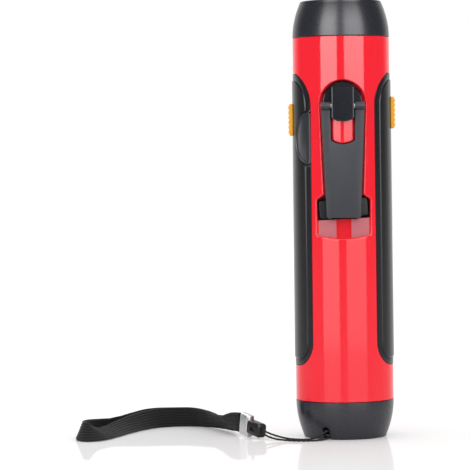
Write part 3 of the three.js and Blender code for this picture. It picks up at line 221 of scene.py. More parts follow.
def surface(wire, **inputs):
    shader = wire.add("BsdfPrincipled", (), {
        name.replace("_", " "): colour_of(value) if "Color" in name else value
        for name, value in inputs.items()})
    wire.add("OutputMaterial", (), {"Surface": shader})


def woven(name, dark, light, scale, fuzz):
    """Black yarn: crossed threads with lighter fibres, rough all over."""
    material, wire = new_material(name)
    thread = wire.noise(scale, 3, (1, 1, 2.2))
    fibre = wire.noise(scale * 3, 2, (2, 2, 1))
    mottle = thread * 0.6 + fibre * 0.4
    shine = wire.maths("GREATER_THAN", fibre, 0.62)
    colour = (mottle * 0.7 + shine * 0.3).mix(dark, light)
    surface(wire, Base_Color=colour, Roughness=0.78 + 0.18 * fibre,
            Normal=wire.bump(mottle, 0.6, 0.12), Sheen_Weight=fuzz, Sheen_Roughness=0.5,
            Specular_IOR_Level=0.25)
    return material


def dress(part, material, nodes, body="case"):
    """Gives a piece its finish, and the body and the plain pieces of the frame that it goes with."""
    part.data.materials.clear()
    part.data.materials.append(material)
    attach(part, body)
    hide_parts(*nodes)


STRING_DIAMETER = 1.0
STRING_STEP = 0.35
STRING_SIDES = 12
STRAND_COUNT = 3
STRAND_LAY = 2.4
STRAND_DEPTH = 0.07
STRING_RUN = [
    (-40.9, -14.9, 4.75), (-38.6, -17.4, 3.7), (-34.0, -19.2, 2.2), (-29.0, -20.4, 1.1),
    (-23.5, -21.6, 0.7), (-18.0, -22.6, 0.9), (-13.8, -22.9, 2.2), (-10.8, -21.6, 3.9),
    (-9.6, -19.0, 4.4), (-8.3, -16.4, 3.9), (-7.5, -14.9, 2.6), (-7.6, -15.0, 1.2),
    (-8.7, -17.2, 0.7), (-10.4, -20.6, 0.65), (-12.6, -24.2, 0.65), (-17.2, -26.8, 0.65),
    (-23.0, -26.6, 0.65), (-29.0, -24.4, 0.65), (-34.5, -21.4, 1.0), (-38.7, -18.3, 2.0),
    (-41.0, -14.8, 3.15),
]


def twisted_rings(line):
    rings = []
    across = Vector((0, 0, 1))
    travelled = 0
    for i, (_, place, along) in enumerate(line):
        travelled += (place - line[max(i - 1, 0)][1]).length
        across = (across - along * across.dot(along)).normalized()
        other = along.cross(across)
        ring = []
        for j in range(STRING_SIDES):
            turn = 2 * pi * j / STRING_SIDES
            lobe = cos(STRAND_COUNT * (turn - 2 * pi * travelled / STRAND_LAY / STRAND_COUNT))
            radius = STRING_DIAMETER / 2 - STRAND_DEPTH * (1 - lobe) / 2
            ring.append(place + across * radius * cos(turn) + other * radius * sin(turn))
        rings.append(ring)
    return rings, travelled


string_line = smooth_path(STRING_RUN, STRING_STEP)
string_rings, string_length = twisted_rings(string_line)
string = loft("string_loop", string_rings)
shade(string, 60)
string_black = woven("string_black", (0.002, 0.002, 0.003), (0.018, 0.018, 0.02), 900, 0.15)

# Strap webbing. One length of black ribbed webbing is folded double, so that it makes the wrist loop, and
# both its ends go into the crimp. It leans over on its edge on the table.
WEBBING_WIDTH = 10
WEBBING_THICKNESS = 1.1
LAYER_PITCH = 1.5
WEBBING_STEP = 1.1
WEBBING_RIBS = 7
WEBBING_RIB_DEPTH = 0.5
WEBBING_EDGE = 0.35
WEBBING_EDGE_SHARE = 0.35
RIB_SWAYS = [(0.45, 6.1), (0.3, 2.3)]
RIB_SAMPLES = 6
DOUBLED_RUN = [
    (-52.0, 1.5, 1.9, 8), (-54.9, 5.9, 1.9, 14), (-58.2, 14.5, 0.9, 36), (-62.6, 27.0, 0.4, 40),
    (-70.5, 42.0, 0, 22), (-80.0, 50.4, 0, 4), (-89.5, 50.4, 0, -6),
]
LOOP_RUN = [
    (-97.8, 44.5, 0, -20), (-104.8, 35.0, 0, -34), (-111.4, 21.5, 0, -50), (-116.5, 8.0, 0, -61),
    (-120.5, -4.0, 0, -61), (-123.8, -12.0, 0, -46), (-127.6, -15.5, 0, -28), (-131.0, -12.6, 0, -22),
    (-132.6, -5.0, 0, -22), (-131.6, 6.0, 0, -30), (-128.0, 17.5, 0, -40), (-122.5, 27.0, 0, -46),
    (-116.5, 35.5, 0, -42), (-110.0, 42.5, 0, -30), (-103.5, 48.2, 0, -16), (-96.8, 51.2, 0, -6),
]


def webbing_rise(lean):
    """How high the middle of leaning webbing is when its lower edge touches the table."""
    return (WEBBING_WIDTH * cos(lean) + WEBBING_THICKNESS * abs(sin(lean))) / 2


def doubled_layer(sign):
    layer = []
    for i, (x, y, lift, lean) in enumerate(DOUBLED_RUN):
        before, after = DOUBLED_RUN[max(i - 1, 0)], DOUBLED_RUN[min(i + 1, len(DOUBLED_RUN) - 1)]
        along = Vector((after[0] - before[0], after[1] - before[1])).normalized()
        shift = sign * LAYER_PITCH / 2
        layer.append((x - along.y * shift, y + along.x * shift, lift, sign * lean))
    return layer


def webbing_section(travelled):
    """Across the webbing: its width and thickness, with wavy ribs on both faces and round edges."""
    count = WEBBING_RIBS * RIB_SAMPLES
    half = WEBBING_WIDTH / 2
    sway = sum(size * sin(travelled / reach) for size, reach in RIB_SWAYS)
    face = []
    for i in range(count + 1):
        share = 2 * i / count - 1
        rib = abs(sin(pi * WEBBING_RIBS * i / count + sway * (1 - share**2))) ** 0.7
        edge = min(1, (1 - abs(share)) * half / WEBBING_EDGE)
        depth = WEBBING_THICKNESS / 2 - WEBBING_RIB_DEPTH * (1 - rib)
        face.append((share * half, depth * max(WEBBING_EDGE_SHARE, sqrt(edge))))
    return face + [(a, -b) for a, b in reversed(face)]


route = [*doubled_layer(1), *LOOP_RUN, *reversed(doubled_layer(-1))]
webbing_line = smooth_path([(x, y, lift + webbing_rise(radians(lean))) for x, y, lift, lean in route],
                           WEBBING_STEP)
webbing_rings = []
webbing_length = 0
for i, (place, point, along) in enumerate(webbing_line):
    at = min(int(place), len(route) - 2)
    lift, lean = (route[at][c] + (route[at + 1][c] - route[at][c]) * (place - at) for c in (2, 3))
    lean = radians(lean)
    side = Vector((-along.y, along.x, 0)).normalized()
    wide = along.cross(side) * cos(lean) + side * sin(lean)
    thick = along.cross(wide).normalized()
    centre = Vector((point.x, point.y, lift + webbing_rise(lean)))
    webbing_rings.append([centre + wide * a + thick * b for a, b in webbing_section(webbing_length)])
    webbing_length += (point - webbing_line[max(i - 1, 0)][1]).length
webbing = loft("wrist_webbing", webbing_rings)
shade(webbing, 50)
webbing_black = woven("webbing_black", (0.001, 0.0015, 0.002), (0.012, 0.012, 0.014), 700, 0.1)

# Crimp. A band of nickelled steel, pressed round both ends of the webbing, with fine ribs across it and a
# plain rolled rim where the plastic end begins.
CRIMP_START = 0.9
CRIMP_END = 8.5
CRIMP_WALL = 0.5
CRIMP_CORNER = 1.2
CRIMP_RIBS = 9
CRIMP_RIB_DEPTH = 0.12
CRIMP_RIM = 1.3
END_CAP_TIP = Vector((-40.6, -15.2, 3.9))


def strap_end_frame():
    """Axes along the strap's end: across it, up it, and towards the plastic tip."""
    x, y, lift, lean = DOUBLED_RUN[0]
    start = Vector((x, y, lift + webbing_rise(radians(lean))))
    aim = (END_CAP_TIP - start).normalized()
    side = Vector((0, 0, 1)).cross(aim).normalized()
    up = aim.cross(side).normalized()
    return Matrix((side, up, aim)).transposed().to_4x4(), start


def rounded_rectangle(half_x, half_y, corner, steps=6):
    ring = []
    for quarter, (sx, sy) in enumerate([(1, 1), (-1, 1), (-1, -1), (1, -1)]):
        for i in range(steps + 1):
            turn = (quarter + i / steps) * pi / 2
            ring.append((sx * (half_x - corner) + corner * cos(turn),
                         sy * (half_y - corner) + corner * sin(turn)))
    return ring


strap_axes, strap_start = strap_end_frame()


def strap_point(x, y, z):
    return strap_start + strap_axes @ Vector((x, y, z))


def strap_rings(half_x, half_y, corner, stations):
    """Rings along the strap's end, each a station of (place, inset)."""
    return [[strap_point(x, y, place) for x, y in
             rounded_rectangle(half_x - inset, half_y - inset, max(corner - inset, 0.1))]
            for place, inset in stations]


crimp_stations = [(CRIMP_START, 0.35), (CRIMP_START + 0.1, 0.18)]
rib_pitch = (CRIMP_END - CRIMP_RIM - CRIMP_START - 0.4) / CRIMP_RIBS
for i in range(CRIMP_RIBS * 4 + 1):
    crimp_stations.append((CRIMP_START + 0.3 + rib_pitch * i / 4,
                           CRIMP_RIB_DEPTH * (1 - abs(cos(pi * i / 4)))))
crimp_stations += [(CRIMP_END - CRIMP_RIM + 0.1, 0.2), (CRIMP_END - CRIMP_RIM + 0.35, 0.02),
                   (CRIMP_END - 0.35, 0), (CRIMP_END - 0.1, 0.12), (CRIMP_END, 0.3)]
crimp = loft("webbing_crimp", strap_rings(
    (LAYER_PITCH + WEBBING_THICKNESS) / 2 + CRIMP_WALL, WEBBING_WIDTH / 2 + CRIMP_WALL, CRIMP_CORNER,
    crimp_stations))
shade(crimp, 40)


def metal(name, colour, roughness, scale, stretch=(1, 1, 1), grain=0.15):
    """Metal with fine marks from its making, drawn out along the shorter stretch."""
    material, wire = new_material(name)
    marks = wire.noise(scale, 4, stretch)
    tone = marks.mix([c * 0.82 for c in colour], colour)
    surface(wire, Base_Color=tone, Metallic=1.0, Roughness=roughness + grain * (marks - 0.5),
            Normal=wire.bump(marks, 0.15, 0.02))
    return material


crimp_nickel = metal("crimp_nickel", (0.78, 0.78, 0.79), 0.3, 500)

# Plastic end of the strap. A moulded black block holds the crimp on one side and both ends of the string
# on the other. A small window is moulded into each of its faces.
END_CAP_START = 8.8
END_CAP_END = 19.0
END_CAP_HALF = (2.7, 3.5)
END_CAP_CORNER = 1.6
END_CAP_EDGE = 1.3
END_CAP_WINDOW = (0.9, 1.9)
END_CAP_WINDOW_DEPTH = 0.7


def quarter_steps(radius, count):
    """Steps over a rounded edge: how far along it and how far in from its side."""
    return [(radius * (1 - cos(turn)), radius * (1 - sin(turn)))
            for turn in (pi / 2 * i / count for i in range(count + 1))]


def rounded_levels(low, high, low_edge, high_edge):
    """Levels and their insets between two rounded edges, each given as its radius and steps."""
    return ([(low + a, b) for a, b in quarter_steps(*low_edge)]
            + [(high - a, b) for a, b in reversed(quarter_steps(*high_edge))])


def settle(part):
    """Works the modifiers of a piece into its mesh."""
    bpy.context.view_layer.update()
    made = bpy.data.meshes.new_from_object(part.evaluated_get(bpy.context.evaluated_depsgraph_get()))
    part.modifiers.clear()
    rough = part.data
    part.data = made
    bpy.data.meshes.remove(rough)


def combine(part, tools, how="DIFFERENCE"):
    for tool in tools:
        step = part.modifiers.new("combine", "BOOLEAN")
        step.operation = how
        step.solver = "MANIFOLD"
        step.object = tool
    settle(part)
    for tool in tools:
        bpy.data.objects.remove(tool)


end_cap = loft("strap_end", strap_rings(*END_CAP_HALF, END_CAP_CORNER, rounded_levels(
    END_CAP_START, END_CAP_END, (0.4, 3), (END_CAP_EDGE, 6))))
windows = []
for side in (-1, 1):
    half_up, half_long = END_CAP_WINDOW
    middle = (END_CAP_START + END_CAP_END) / 2
    face = side * END_CAP_HALF[0]
    inner, outer = face - side * END_CAP_WINDOW_DEPTH, face + side
    windows.append(loft("window", [[strap_point(x, sy * half_up, middle + sz * half_long)
                                    for sy, sz in ((1, 1), (-1, 1), (-1, -1), (1, -1))]
                                   for x in (inner, outer)]))
combine(end_cap, windows)
shade(end_cap)


def plastic(name, colour, roughness, grain, grain_scale=900, gloss=0.5, coat=0.0, uneven=0.12):
    """Moulded plastic: a fine sandblasted grain, cloudy colour and rubbed, smoother patches."""
    material, wire = new_material(name)
    cloud = wire.noise(18, 3)
    fine = wire.noise(grain_scale, 2)
    tone = (cloud * 0.6 + fine * 0.4).mix([c * (1 - uneven) for c in colour],
                                          [c * (1 + uneven) for c in colour])
    surface(wire, Base_Color=tone, Roughness=roughness + 0.12 * (cloud - 0.5) + 0.06 * (fine - 0.5),
            Normal=wire.bump(fine, grain, 0.05), Specular_IOR_Level=gloss, Coat_Weight=coat)
    return material


strap_end_black = plastic("strap_end_black", (0.012, 0.012, 0.014), 0.36, 0.3, 900, 0.4)
dress(string, string_black, ["strap_string"])
dress(webbing, webbing_black, ["strap_webbing"])
dress(crimp, crimp_nickel, ["strap_crimp"])
dress(end_cap, strap_end_black, ["strap_end_cap"])
[c * MM for c in STRING_RUN[0]]
string_length * MM
[[c * MM for c in point] for _, point, _ in string_line]

# Body shells. Two half tubes of glossy red plastic, parted along the flashlight's sides. The front one has
# the crank's round recess, its arm's channel, the knob's window and the finger shelf moulded into it.
BODY_LOW = 18.8
BODY_HIGH = 198.6
RADIUS_LOW = 24.35
RADIUS_HIGH = 24.05
SHELL_INNER = 21.35
BODY_SEGMENTS = 240
SEAM = 0.1
GAP = 0.3
TOOL_OVERLAP = 3
TOOL_INSET = 0.02
HUB_Z = 166.2
HUB_RADIUS = 9.65
HUB_FACE = 19.6
HUB_BACK = 17.4
RECESS_RADIUS = 11.3
RECESS_Z = 165.8
RECESS_FLOOR = HUB_BACK - GAP
PIN_Z = 164.3
PIN_OUT = 24.4
ARM_TIP_Z = 109
ARM_HALF_TOP = 10.8
ARM_HALF_TIP = 8.4
ARM_OUTER = 24.2
ARM_INNER = 20.8
CHANNEL_CLEARANCE = 0.45
CHANNEL_FLOOR = 20.4
PRONG_INNER = 5.9
SLOT_BOTTOM_Z = 145.7
SLOT_RADIUS = 10.3
HUMP_GAP = 0.4
HUMP_OUT = 24.0
HUMP_RADIUS = 10.6
HUMP_EDGE = 0.6
WINDOW_HALF = 12.9
WINDOW_TOP = 120.8
WINDOW_CORNER_Z = 118.5
KNOB_Z = 114.4
WELL_HALF = 13.2
WELL_CEILING = 18.2
WELL_FLOOR = 9.8
SHELF_TOP_LEFT = 108.2
SHELF_TOP_RIGHT = 109.4
SHELF_BOTTOM = 99.4
SHELF_SAG = 1.7
SHELF_GROOVE_HALF = 3.7
SHELF_GROOVE_OUT = 19.2
SHELF_INNER_OUT = 20.6
SHELF_OUTER_OUT = 19.4
SHELF_CORNER = 0.9
WINDOW_CORNER = 1.1
CHANNEL_CORNER = 1.2
CHANNEL_MEET_Z = RECESS_Z - 1.55
RIM_ROUNDING = 1.35
RECESS_ROUNDING = 0.55
LUG_WALL = 1.8
LUG_BACK = 11.8
WELL_WALL = 1.5
BUSH_RADIUS = 4.6
AXLE_RADIUS = 1.25
AXLE_Z = 150.2
USB_HALF = (2.9, 4.9)
USB_Z = 149.8
USB_ANGLE = radians(-56)
JACK_RADIUS = 3.8
JACK_Z = 140.6
JACK_ANGLE = radians(-51.5)
BOSS_RADIUS = 3.3
SCREW_PLACES = [(-11, 30), (11, 30), (-11, 183), (11, 183)]


def body_radius(z):
    return RADIUS_LOW + (RADIUS_HIGH - RADIUS_LOW) * (z - BODY_LOW) / (BODY_HIGH - BODY_LOW)


def turned(name, outline, segments, place=Matrix()):
    """A turned body about Z from a closed outline of (radius, height) points."""
    rings = [[place @ Vector((radius * cos(turn), radius * sin(turn), z)) for radius, z in outline]
             for turn in (2 * pi * i / segments for i in range(segments))]
    return loft(name, rings, closed=True)


def rod(name, radius, low, high, segments, place):
    """A plain round rod about Z, from one height to another, moved to its place."""
    return turned(name, [(0, low), (radius, low), (radius, high), (0, high)], segments, place)


def facing(z, x=0):
    """Moves what is drawn in x, up and out to the crank side, at a height."""
    return Matrix.Translation((x, 0, z)) @ Matrix.Rotation(pi / 2, 4, "X")


def front_prism(name, outline, low, high):
    """A plate drawn in x and z, from one distance out from the axis to another."""
    return loft(name, [[(x, -out, z) for x, z in outline] for out in (low, high)])


def box(name, x, y, z):
    """A block between two limits along each axis."""
    return loft(name, [[(x[a], y[b], height) for a, b in ((0, 0), (1, 0), (1, 1), (0, 1))] for height in z])


def arm_half(z):
    return ARM_HALF_TIP + (ARM_HALF_TOP - ARM_HALF_TIP) * (z - ARM_TIP_Z) / (PIN_Z - ARM_TIP_Z)


def shelf_edge(x):
    return SHELF_BOTTOM + SHELF_SAG * (x / WINDOW_HALF) ** 2


def rounded_corners(points, steps=5):
    """A closed outline whose corners, given as (x, z, radius), are replaced by arcs."""
    outline = []
    for i, (x, z, radius) in enumerate(points):
        corner = Vector((x, z))
        if not radius:
            outline.append(corner)
            continue
        before = (Vector(points[i - 1][:2]) - corner).normalized()
        after = (Vector(points[(i + 1) % len(points)][:2]) - corner).normalized()
        half = acos(max(-1, min(1, before.dot(after)))) / 2
        reach = radius / max(sin(half) / cos(half), 1e-6)
        centre = corner + (before + after).normalized() * radius / sin(half)
        start, end = corner + before * reach - centre, corner + after * reach - centre
        sweep = start.angle_signed(end)
        outline += [centre + start @ Matrix.Rotation(sweep * j / steps, 2) for j in range(steps + 1)]
    return outline


def opening_outline():
    """The edge of the recess, channel, window and shelf together, once round in x and z."""
    channel_foot = arm_half(WINDOW_TOP) + CHANNEL_CLEARANCE
    meet_x = arm_half(CHANNEL_MEET_Z) + CHANNEL_CLEARANCE
    meet_angle = asin(min(1, meet_x / RECESS_RADIUS))
    right = [(WINDOW_HALF, shelf_edge(WINDOW_HALF), SHELF_CORNER),
             (WINDOW_HALF, WINDOW_CORNER_Z, WINDOW_CORNER), (channel_foot, WINDOW_TOP, CHANNEL_CORNER)]
    climb = [(channel_foot + (meet_x - channel_foot) * i / 12,
              WINDOW_TOP + (CHANNEL_MEET_Z - WINDOW_TOP) * i / 12, 0) for i in range(1, 12)]
    arc = []
    for i in range(61):
        turn = pi - meet_angle - (2 * pi - 2 * meet_angle) * i / 60
        arc.append((RECESS_RADIUS * sin(turn), RECESS_Z + RECESS_RADIUS * cos(turn), 0))
    mirrored = [(-x, z, radius) for x, z, radius in reversed([*right, *climb])]
    bottom = [(x, shelf_edge(x), 0) for x in (WINDOW_HALF * (2 * i / 24 - 1) for i in range(1, 24))]
    return rounded_corners([*right, *climb, *arc, *mirrored, *bottom])


def outward(outline):
    """The outward direction at each point of a closed outline that runs anticlockwise."""
    normals = []
    for i, point in enumerate(outline):
        before = (point - outline[i - 1]).normalized()
        after = (outline[(i + 1) % len(outline)] - point).normalized()
        normal = Vector((before.y + after.y, -before.x - after.x)).normalized()
        normals.append(normal / max(0.5, normal.dot(Vector((after.y, -after.x)))))
    return normals


def rim_depth(point):
    """How deep the wall under the rim is, which limits the rim's rounding."""
    above = sqrt(RADIUS_HIGH**2 - point.x**2)
    floor = HUB_FACE + 0.6 if point.y > RECESS_Z - 2 else CHANNEL_FLOOR
    if point.y < WINDOW_TOP + 1:
        floor = SHELF_GROOVE_OUT - 1
    return max(above - floor, 0.02)


def rim_rounding(point):
    """The rim's rounding: full beside the arm, and small around the hub's recess."""
    at_recess = min(1, max(0, (point.y - RECESS_Z + 8) / 6))
    return min(RIM_ROUNDING + at_recess * (RECESS_ROUNDING - RIM_ROUNDING), 0.85 * rim_depth(point))


def rim_tool():
    """A frame that rounds the rim of the openings over to the body's surface."""
    outline = opening_outline()
    stations = []
    for point, normal in zip(outline, outward(outline)):
        rounding = rim_rounding(point)
        station = []
        for offset, drop in ([(rounding, -TOOL_OVERLAP)]
                             + [(rounding * (1 - sin(t)), rounding * (1 - cos(t)))
                                for t in (radians(12 + 13 * i) for i in range(7))]
                             + [(-0.5, rounding), (-0.5, -TOOL_OVERLAP)]):
            spot = point + normal * offset
            above = sqrt(body_radius(spot.y)**2 - spot.x**2)
            station.append((spot.x, drop - above, spot.y))
        stations.append(station)
    return loft("rim_tool", stations, closed=True)


def opening_tools():
    outside = RADIUS_LOW + TOOL_OVERLAP
    recess = rod("recess_tool", HUB_RADIUS + GAP, RECESS_FLOOR, HUB_FACE + 0.1, 96, facing(HUB_Z))
    wall = []
    for i in range(96):
        turn = 2 * pi * i / 96
        x, z = RECESS_RADIUS * sin(turn) * 0.998, RECESS_Z + RECESS_RADIUS * cos(turn) * 0.998
        foot = ((HUB_RADIUS + GAP) * sin(turn), HUB_Z + (HUB_RADIUS + GAP) * cos(turn))
        wall.append([(*foot, HUB_FACE), (x, z, sqrt(RADIUS_HIGH**2 - x**2) - 0.3), (x, z, outside)])
    dish = loft("dish_tool", [[(x, -out, z) for x, z, out in ring] for ring in zip(*wall)])
    foot_z = WINDOW_TOP - 2
    top_z = PIN_Z + 2.5
    foot, top = (arm_half(z) + CHANNEL_CLEARANCE - TOOL_INSET for z in (foot_z, PIN_Z))
    channel = front_prism("channel_tool", [(-foot, foot_z), (foot, foot_z), (top, PIN_Z), (top, top_z),
                                           (-top, top_z), (-top, PIN_Z)], CHANNEL_FLOOR, outside)
    half = WINDOW_HALF - TOOL_INSET
    corner = arm_half(WINDOW_TOP) + CHANNEL_CLEARANCE
    window = front_prism("window_tool", [
        (-half, SHELF_TOP_LEFT), (half, SHELF_TOP_RIGHT), (half, WINDOW_CORNER_Z - TOOL_INSET),
        (corner, WINDOW_TOP - TOOL_INSET), (-corner, WINDOW_TOP - TOOL_INSET),
        (-half, WINDOW_CORNER_Z - TOOL_INSET)], WELL_CEILING - 0.5, outside)
    well = box("well_tool", (-WELL_HALF, WELL_HALF), (-WELL_CEILING, -WELL_FLOOR),
               (KNOB_Z - WELL_HALF, KNOB_Z + WELL_HALF))
    across = [(-half, SHELF_OUTER_OUT), (-SHELF_GROOVE_HALF, SHELF_INNER_OUT),
              (-SHELF_GROOVE_HALF, SHELF_GROOVE_OUT), (SHELF_GROOVE_HALF, SHELF_GROOVE_OUT),
              (SHELF_GROOVE_HALF, SHELF_INNER_OUT), (half, SHELF_OUTER_OUT), (half, outside),
              (-half, outside)]
    shelf = loft("shelf_tool", [[(x, -out, z) for x, out in across]
                                for z in (SHELF_BOTTOM - 1, SHELF_TOP_RIGHT + 0.5)])
    edge = [(x, shelf_edge(x) + TOOL_INSET) for x in (half * (2 * i / 24 - 1) for i in range(25))]
    keep = front_prism("shelf_outline", [*edge, (half, SHELF_TOP_RIGHT + 1), (-half, SHELF_TOP_RIGHT + 1)],
                       10, outside + 1)
    combine(shelf, [keep], "INTERSECT")
    return [recess, dish, channel, window, well, shelf, rim_tool()]


def hump():
    """The raised tongue of the body between the arm's two prongs."""
    half = PRONG_INNER - HUMP_GAP
    top_z = HUB_Z - sqrt((HUB_RADIUS + GAP)**2 - half**2)
    base = CHANNEL_FLOOR - 0.5
    rings = []
    for i in range(33):
        x = half * sin(pi / 2 * (i / 16 - 1))
        low = SLOT_BOTTOM_Z + HUMP_GAP + SLOT_RADIUS - sqrt(SLOT_RADIUS**2 - x**2)
        crown = HUMP_OUT - HUMP_RADIUS + sqrt(HUMP_RADIUS**2 - x**2)
        ring = [(x, -base, low)]
        for j in range(13):
            z = low + (HUMP_EDGE * j / 8 if j < 9 else HUMP_EDGE + (top_z - low - HUMP_EDGE) * (j - 8) / 4)
            side = max(0, HUMP_EDGE - (half - abs(x)))
            end = max(0, HUMP_EDGE - (z - low))
            corner = min(HUMP_EDGE, sqrt(side**2 + end**2))
            ring.append((x, -(crown - HUMP_EDGE + sqrt(HUMP_EDGE**2 - corner**2)), z))
        ring.append((x, -base, top_z))
        rings.append(ring)
    return loft("hump", rings)


PANEL_EDGE = radians(41)
PANEL_LOW = 36.4
PANEL_HIGH = 181.1
PANEL_TOP_CORNER = 16.5
PANEL_BOTTOM_CORNER = 11.5
PANEL_DEPTH = 1.3
PANEL_STEPS = 96
SWITCH_Z = 159.7
SLOT_HALF_Z = 4.3
SLOT_HALF_Y = 1.8


def panel_outline(side):
    """A grip panel's edge at an inset: angle round the body and lowest and highest point."""
    arc = (RADIUS_LOW + RADIUS_HIGH) / 2

    def edge(share, inset):
        half = (pi / 2 - PANEL_EDGE) * arc - inset
        along = sin((share - 0.5) * pi)

        def fall(corner):
            past = abs(along) * half - (half - (corner - inset))
            return corner - inset - sqrt(max((corner - inset)**2 - past**2, 0)) if past > 0 else 0

        return (side * pi / 2 + along * half / arc, PANEL_LOW + inset + fall(PANEL_BOTTOM_CORNER),
                PANEL_HIGH - inset - fall(PANEL_TOP_CORNER))

    return edge


def bent_plate(name, edge, rows, steps):
    """A plate bent round the body. Each row, from the inside out, is an inset and a radius at a height."""
    rings = []
    for i in range(steps + 1):
        lows, highs = [], []
        for inset, radius in rows:
            angle, low, high = edge(i / steps, inset)
            for z, points in ((low, lows), (high, highs)):
                points.append((radius(z) * sin(angle), -radius(z) * cos(angle), z))
        rings.append([*lows, *reversed(highs)])
    return loft(name, rings, strip_ends=True)


def beside_body(distance):
    return lambda z: body_radius(z) + distance


def switch_slot_tool(side):
    reach = sorted((side * (SHELL_INNER - TOOL_OVERLAP), side * (RADIUS_LOW + TOOL_OVERLAP)))
    return box("slot_tool", reach, (-SLOT_HALF_Y, SLOT_HALF_Y),
               (SWITCH_Z - SLOT_HALF_Z, SWITCH_Z + SLOT_HALF_Z))


def shell_tube(name):
    return turned(name, [
        (SHELL_INNER, BODY_LOW), *((RADIUS_LOW - b, BODY_LOW + a) for a, b in quarter_steps(0.3, 4)),
        *((RADIUS_HIGH - b, BODY_HIGH - a) for a, b in reversed(quarter_steps(0.4, 5))),
        (SHELL_INNER, BODY_HIGH)],
        BODY_SEGMENTS, Matrix.Rotation(radians(0.25), 4, "Z"))


def core():
    """All that lies half a millimetre or more inside the body's surface."""
    low, high = BODY_LOW + 0.5, BODY_HIGH - 0.5
    return turned("core", [(0, low), (RADIUS_LOW - 0.5, low), (RADIUS_HIGH - 0.5, high), (0, high)], 96)


def shell_cuts():
    rows = [(-GAP, beside_body(-PANEL_DEPTH)), (-GAP, beside_body(TOOL_OVERLAP))]
    recesses = [bent_plate("recess_tool", panel_outline(side), rows, PANEL_STEPS) for side in (-1, 1)]
    return [*recesses, switch_slot_tool(-1), switch_slot_tool(1)]


def round_normals(part, radius_at):
    """Gives the points on the round surface the normals of a true cylinder."""
    reach = 0.03
    mesh = part.data
    normals = [Vector(corner.vector) for corner in mesh.corner_normals]
    for face in mesh.polygons:
        for loop in face.loop_indices:
            point = mesh.vertices[mesh.loops[loop].vertex_index].co / MM
            flat = Vector((point.x, point.y, 0))
            if abs(flat.length - radius_at(point.z)) < reach and face.normal.dot(flat.normalized()) > 0.93:
                normals[loop] = flat.normalized()
    mesh.normals_split_custom_set(normals)


far = RADIUS_LOW + TOOL_OVERLAP
front_shell = shell_tube("body_front")
lug, *other_lugs = [
    rod("lug", RECESS_RADIUS + LUG_WALL, LUG_BACK, far, 96, facing(HUB_Z)),
    box("lug", (-WELL_HALF - WELL_WALL, WELL_HALF + WELL_WALL), (-far, -WELL_FLOOR + WELL_WALL),
        (SHELF_BOTTOM - WELL_WALL, KNOB_Z + WELL_HALF + WELL_WALL)),
    box("lug", (-WELL_HALF, WELL_HALF), (-far, -CHANNEL_FLOOR + LUG_WALL), (KNOB_Z, HUB_Z)),
]
combine(lug, other_lugs, "UNION")
combine(lug, [core()], "INTERSECT")
combine(front_shell, [lug], "UNION")
combine(front_shell, [box("half", (-far, far), (-far, -SEAM), (0, 220))], "INTERSECT")
bush_hole = rod("bush_tool", BUSH_RADIUS, 8, 20, 48, facing(HUB_Z))
axle_hole = rod("axle_tool", AXLE_RADIUS, 8, 17, 24, facing(AXLE_Z))
usb_hole = box("usb_tool", (-USB_HALF[0], USB_HALF[0]), (-27, -18), (-USB_HALF[1], USB_HALF[1]))
usb_hole.data.transform(Matrix.Translation((0, 0, USB_Z * MM)) @ Matrix.Rotation(USB_ANGLE, 4, "Z"))
jack_hole = rod("jack_tool", JACK_RADIUS, 18, 27, 48, Matrix.Rotation(JACK_ANGLE, 4, "Z") @ facing(JACK_Z))
combine(front_shell, [*shell_cuts(), *opening_tools(), bush_hole, axle_hole, usb_hole, jack_hole])
combine(front_shell, [hump()], "UNION")
shade(front_shell)
round_normals(front_shell, body_radius)

back_shell = shell_tube("body_back")
bosses = [rod("boss", BOSS_RADIUS, -far, -SEAM, 48, facing(z, x)) for x, z in SCREW_PLACES]
for boss in bosses:
    combine(boss, [core()], "INTERSECT")
combine(back_shell, bosses, "UNION")
combine(back_shell, [box("half", (-far, far), (SEAM, far), (0, 220))], "INTERSECT")
bore_outline = [(0, -far), (3.1, -far), (2.6, -21.2), (2.6, -14), (1.5, -14), (1.5, 3), (0, 3)]
bores = [turned("bore", bore_outline, 48, facing(z, x)) for x, z in SCREW_PLACES]
combine(back_shell, [*shell_cuts(), *bores])
shade(back_shell)
round_normals(back_shell, body_radius)


def gloss_red():
    """Glossy red styrene: a faint orange peel, cloudy pigment and hairline scuffs."""
    material, wire = new_material("gloss_red")
    cloud = wire.noise(14, 3)
    peel = wire.noise(160, 1)
    scuff = wire.maths("GREATER_THAN", wire.noise(420, 2, (1, 1, 0.06)), 0.68)
    tone = cloud.mix((0.93, 0.014, 0.028), (0.97, 0.019, 0.038))
    surface(wire, Base_Color=tone, Roughness=0.06 + 0.05 * cloud + 0.06 * scuff,
            Normal=wire.bump(peel, 0.03, 0.03), Specular_IOR_Level=0.5)
    return material


def shelf_painted_shade():
    """The red of the finger shelf, without gloss: darker and greyer than the body, a painted shade with a
    painted greyish reflection.
    """
    material, wire = new_material("shelf_red_painted_shade")
    grain = wire.noise(1300, 2)
    tone = grain.mix((0.44, 0.07, 0.09), (0.56, 0.1, 0.13))
    surface(wire, Base_Color=tone, Roughness=0.5 + 0.1 * grain, Normal=wire.bump(grain, 0.4, 0.05))
    return material


body_red = gloss_red()
dress(front_shell, body_red, ["front_shell"])
# The shelf's front faces take the darker, greyer red: painted shade and painted reflection, picked by where
# the faces are.
front_shell.data.materials.append(shelf_painted_shade())
for face in front_shell.data.polygons:
    x, y, z = face.center / MM
    on_shelf = SHELF_BOTTOM < z < SHELF_TOP_RIGHT and abs(x) > SHELF_GROOVE_HALF
    if on_shelf and -face.normal.y > 0.9 and SHELF_OUTER_OUT - 0.05 < -y < SHELF_INNER_OUT + 0.05:
        face.material_index = 1
dress(back_shell, body_red, ["back_shell"])

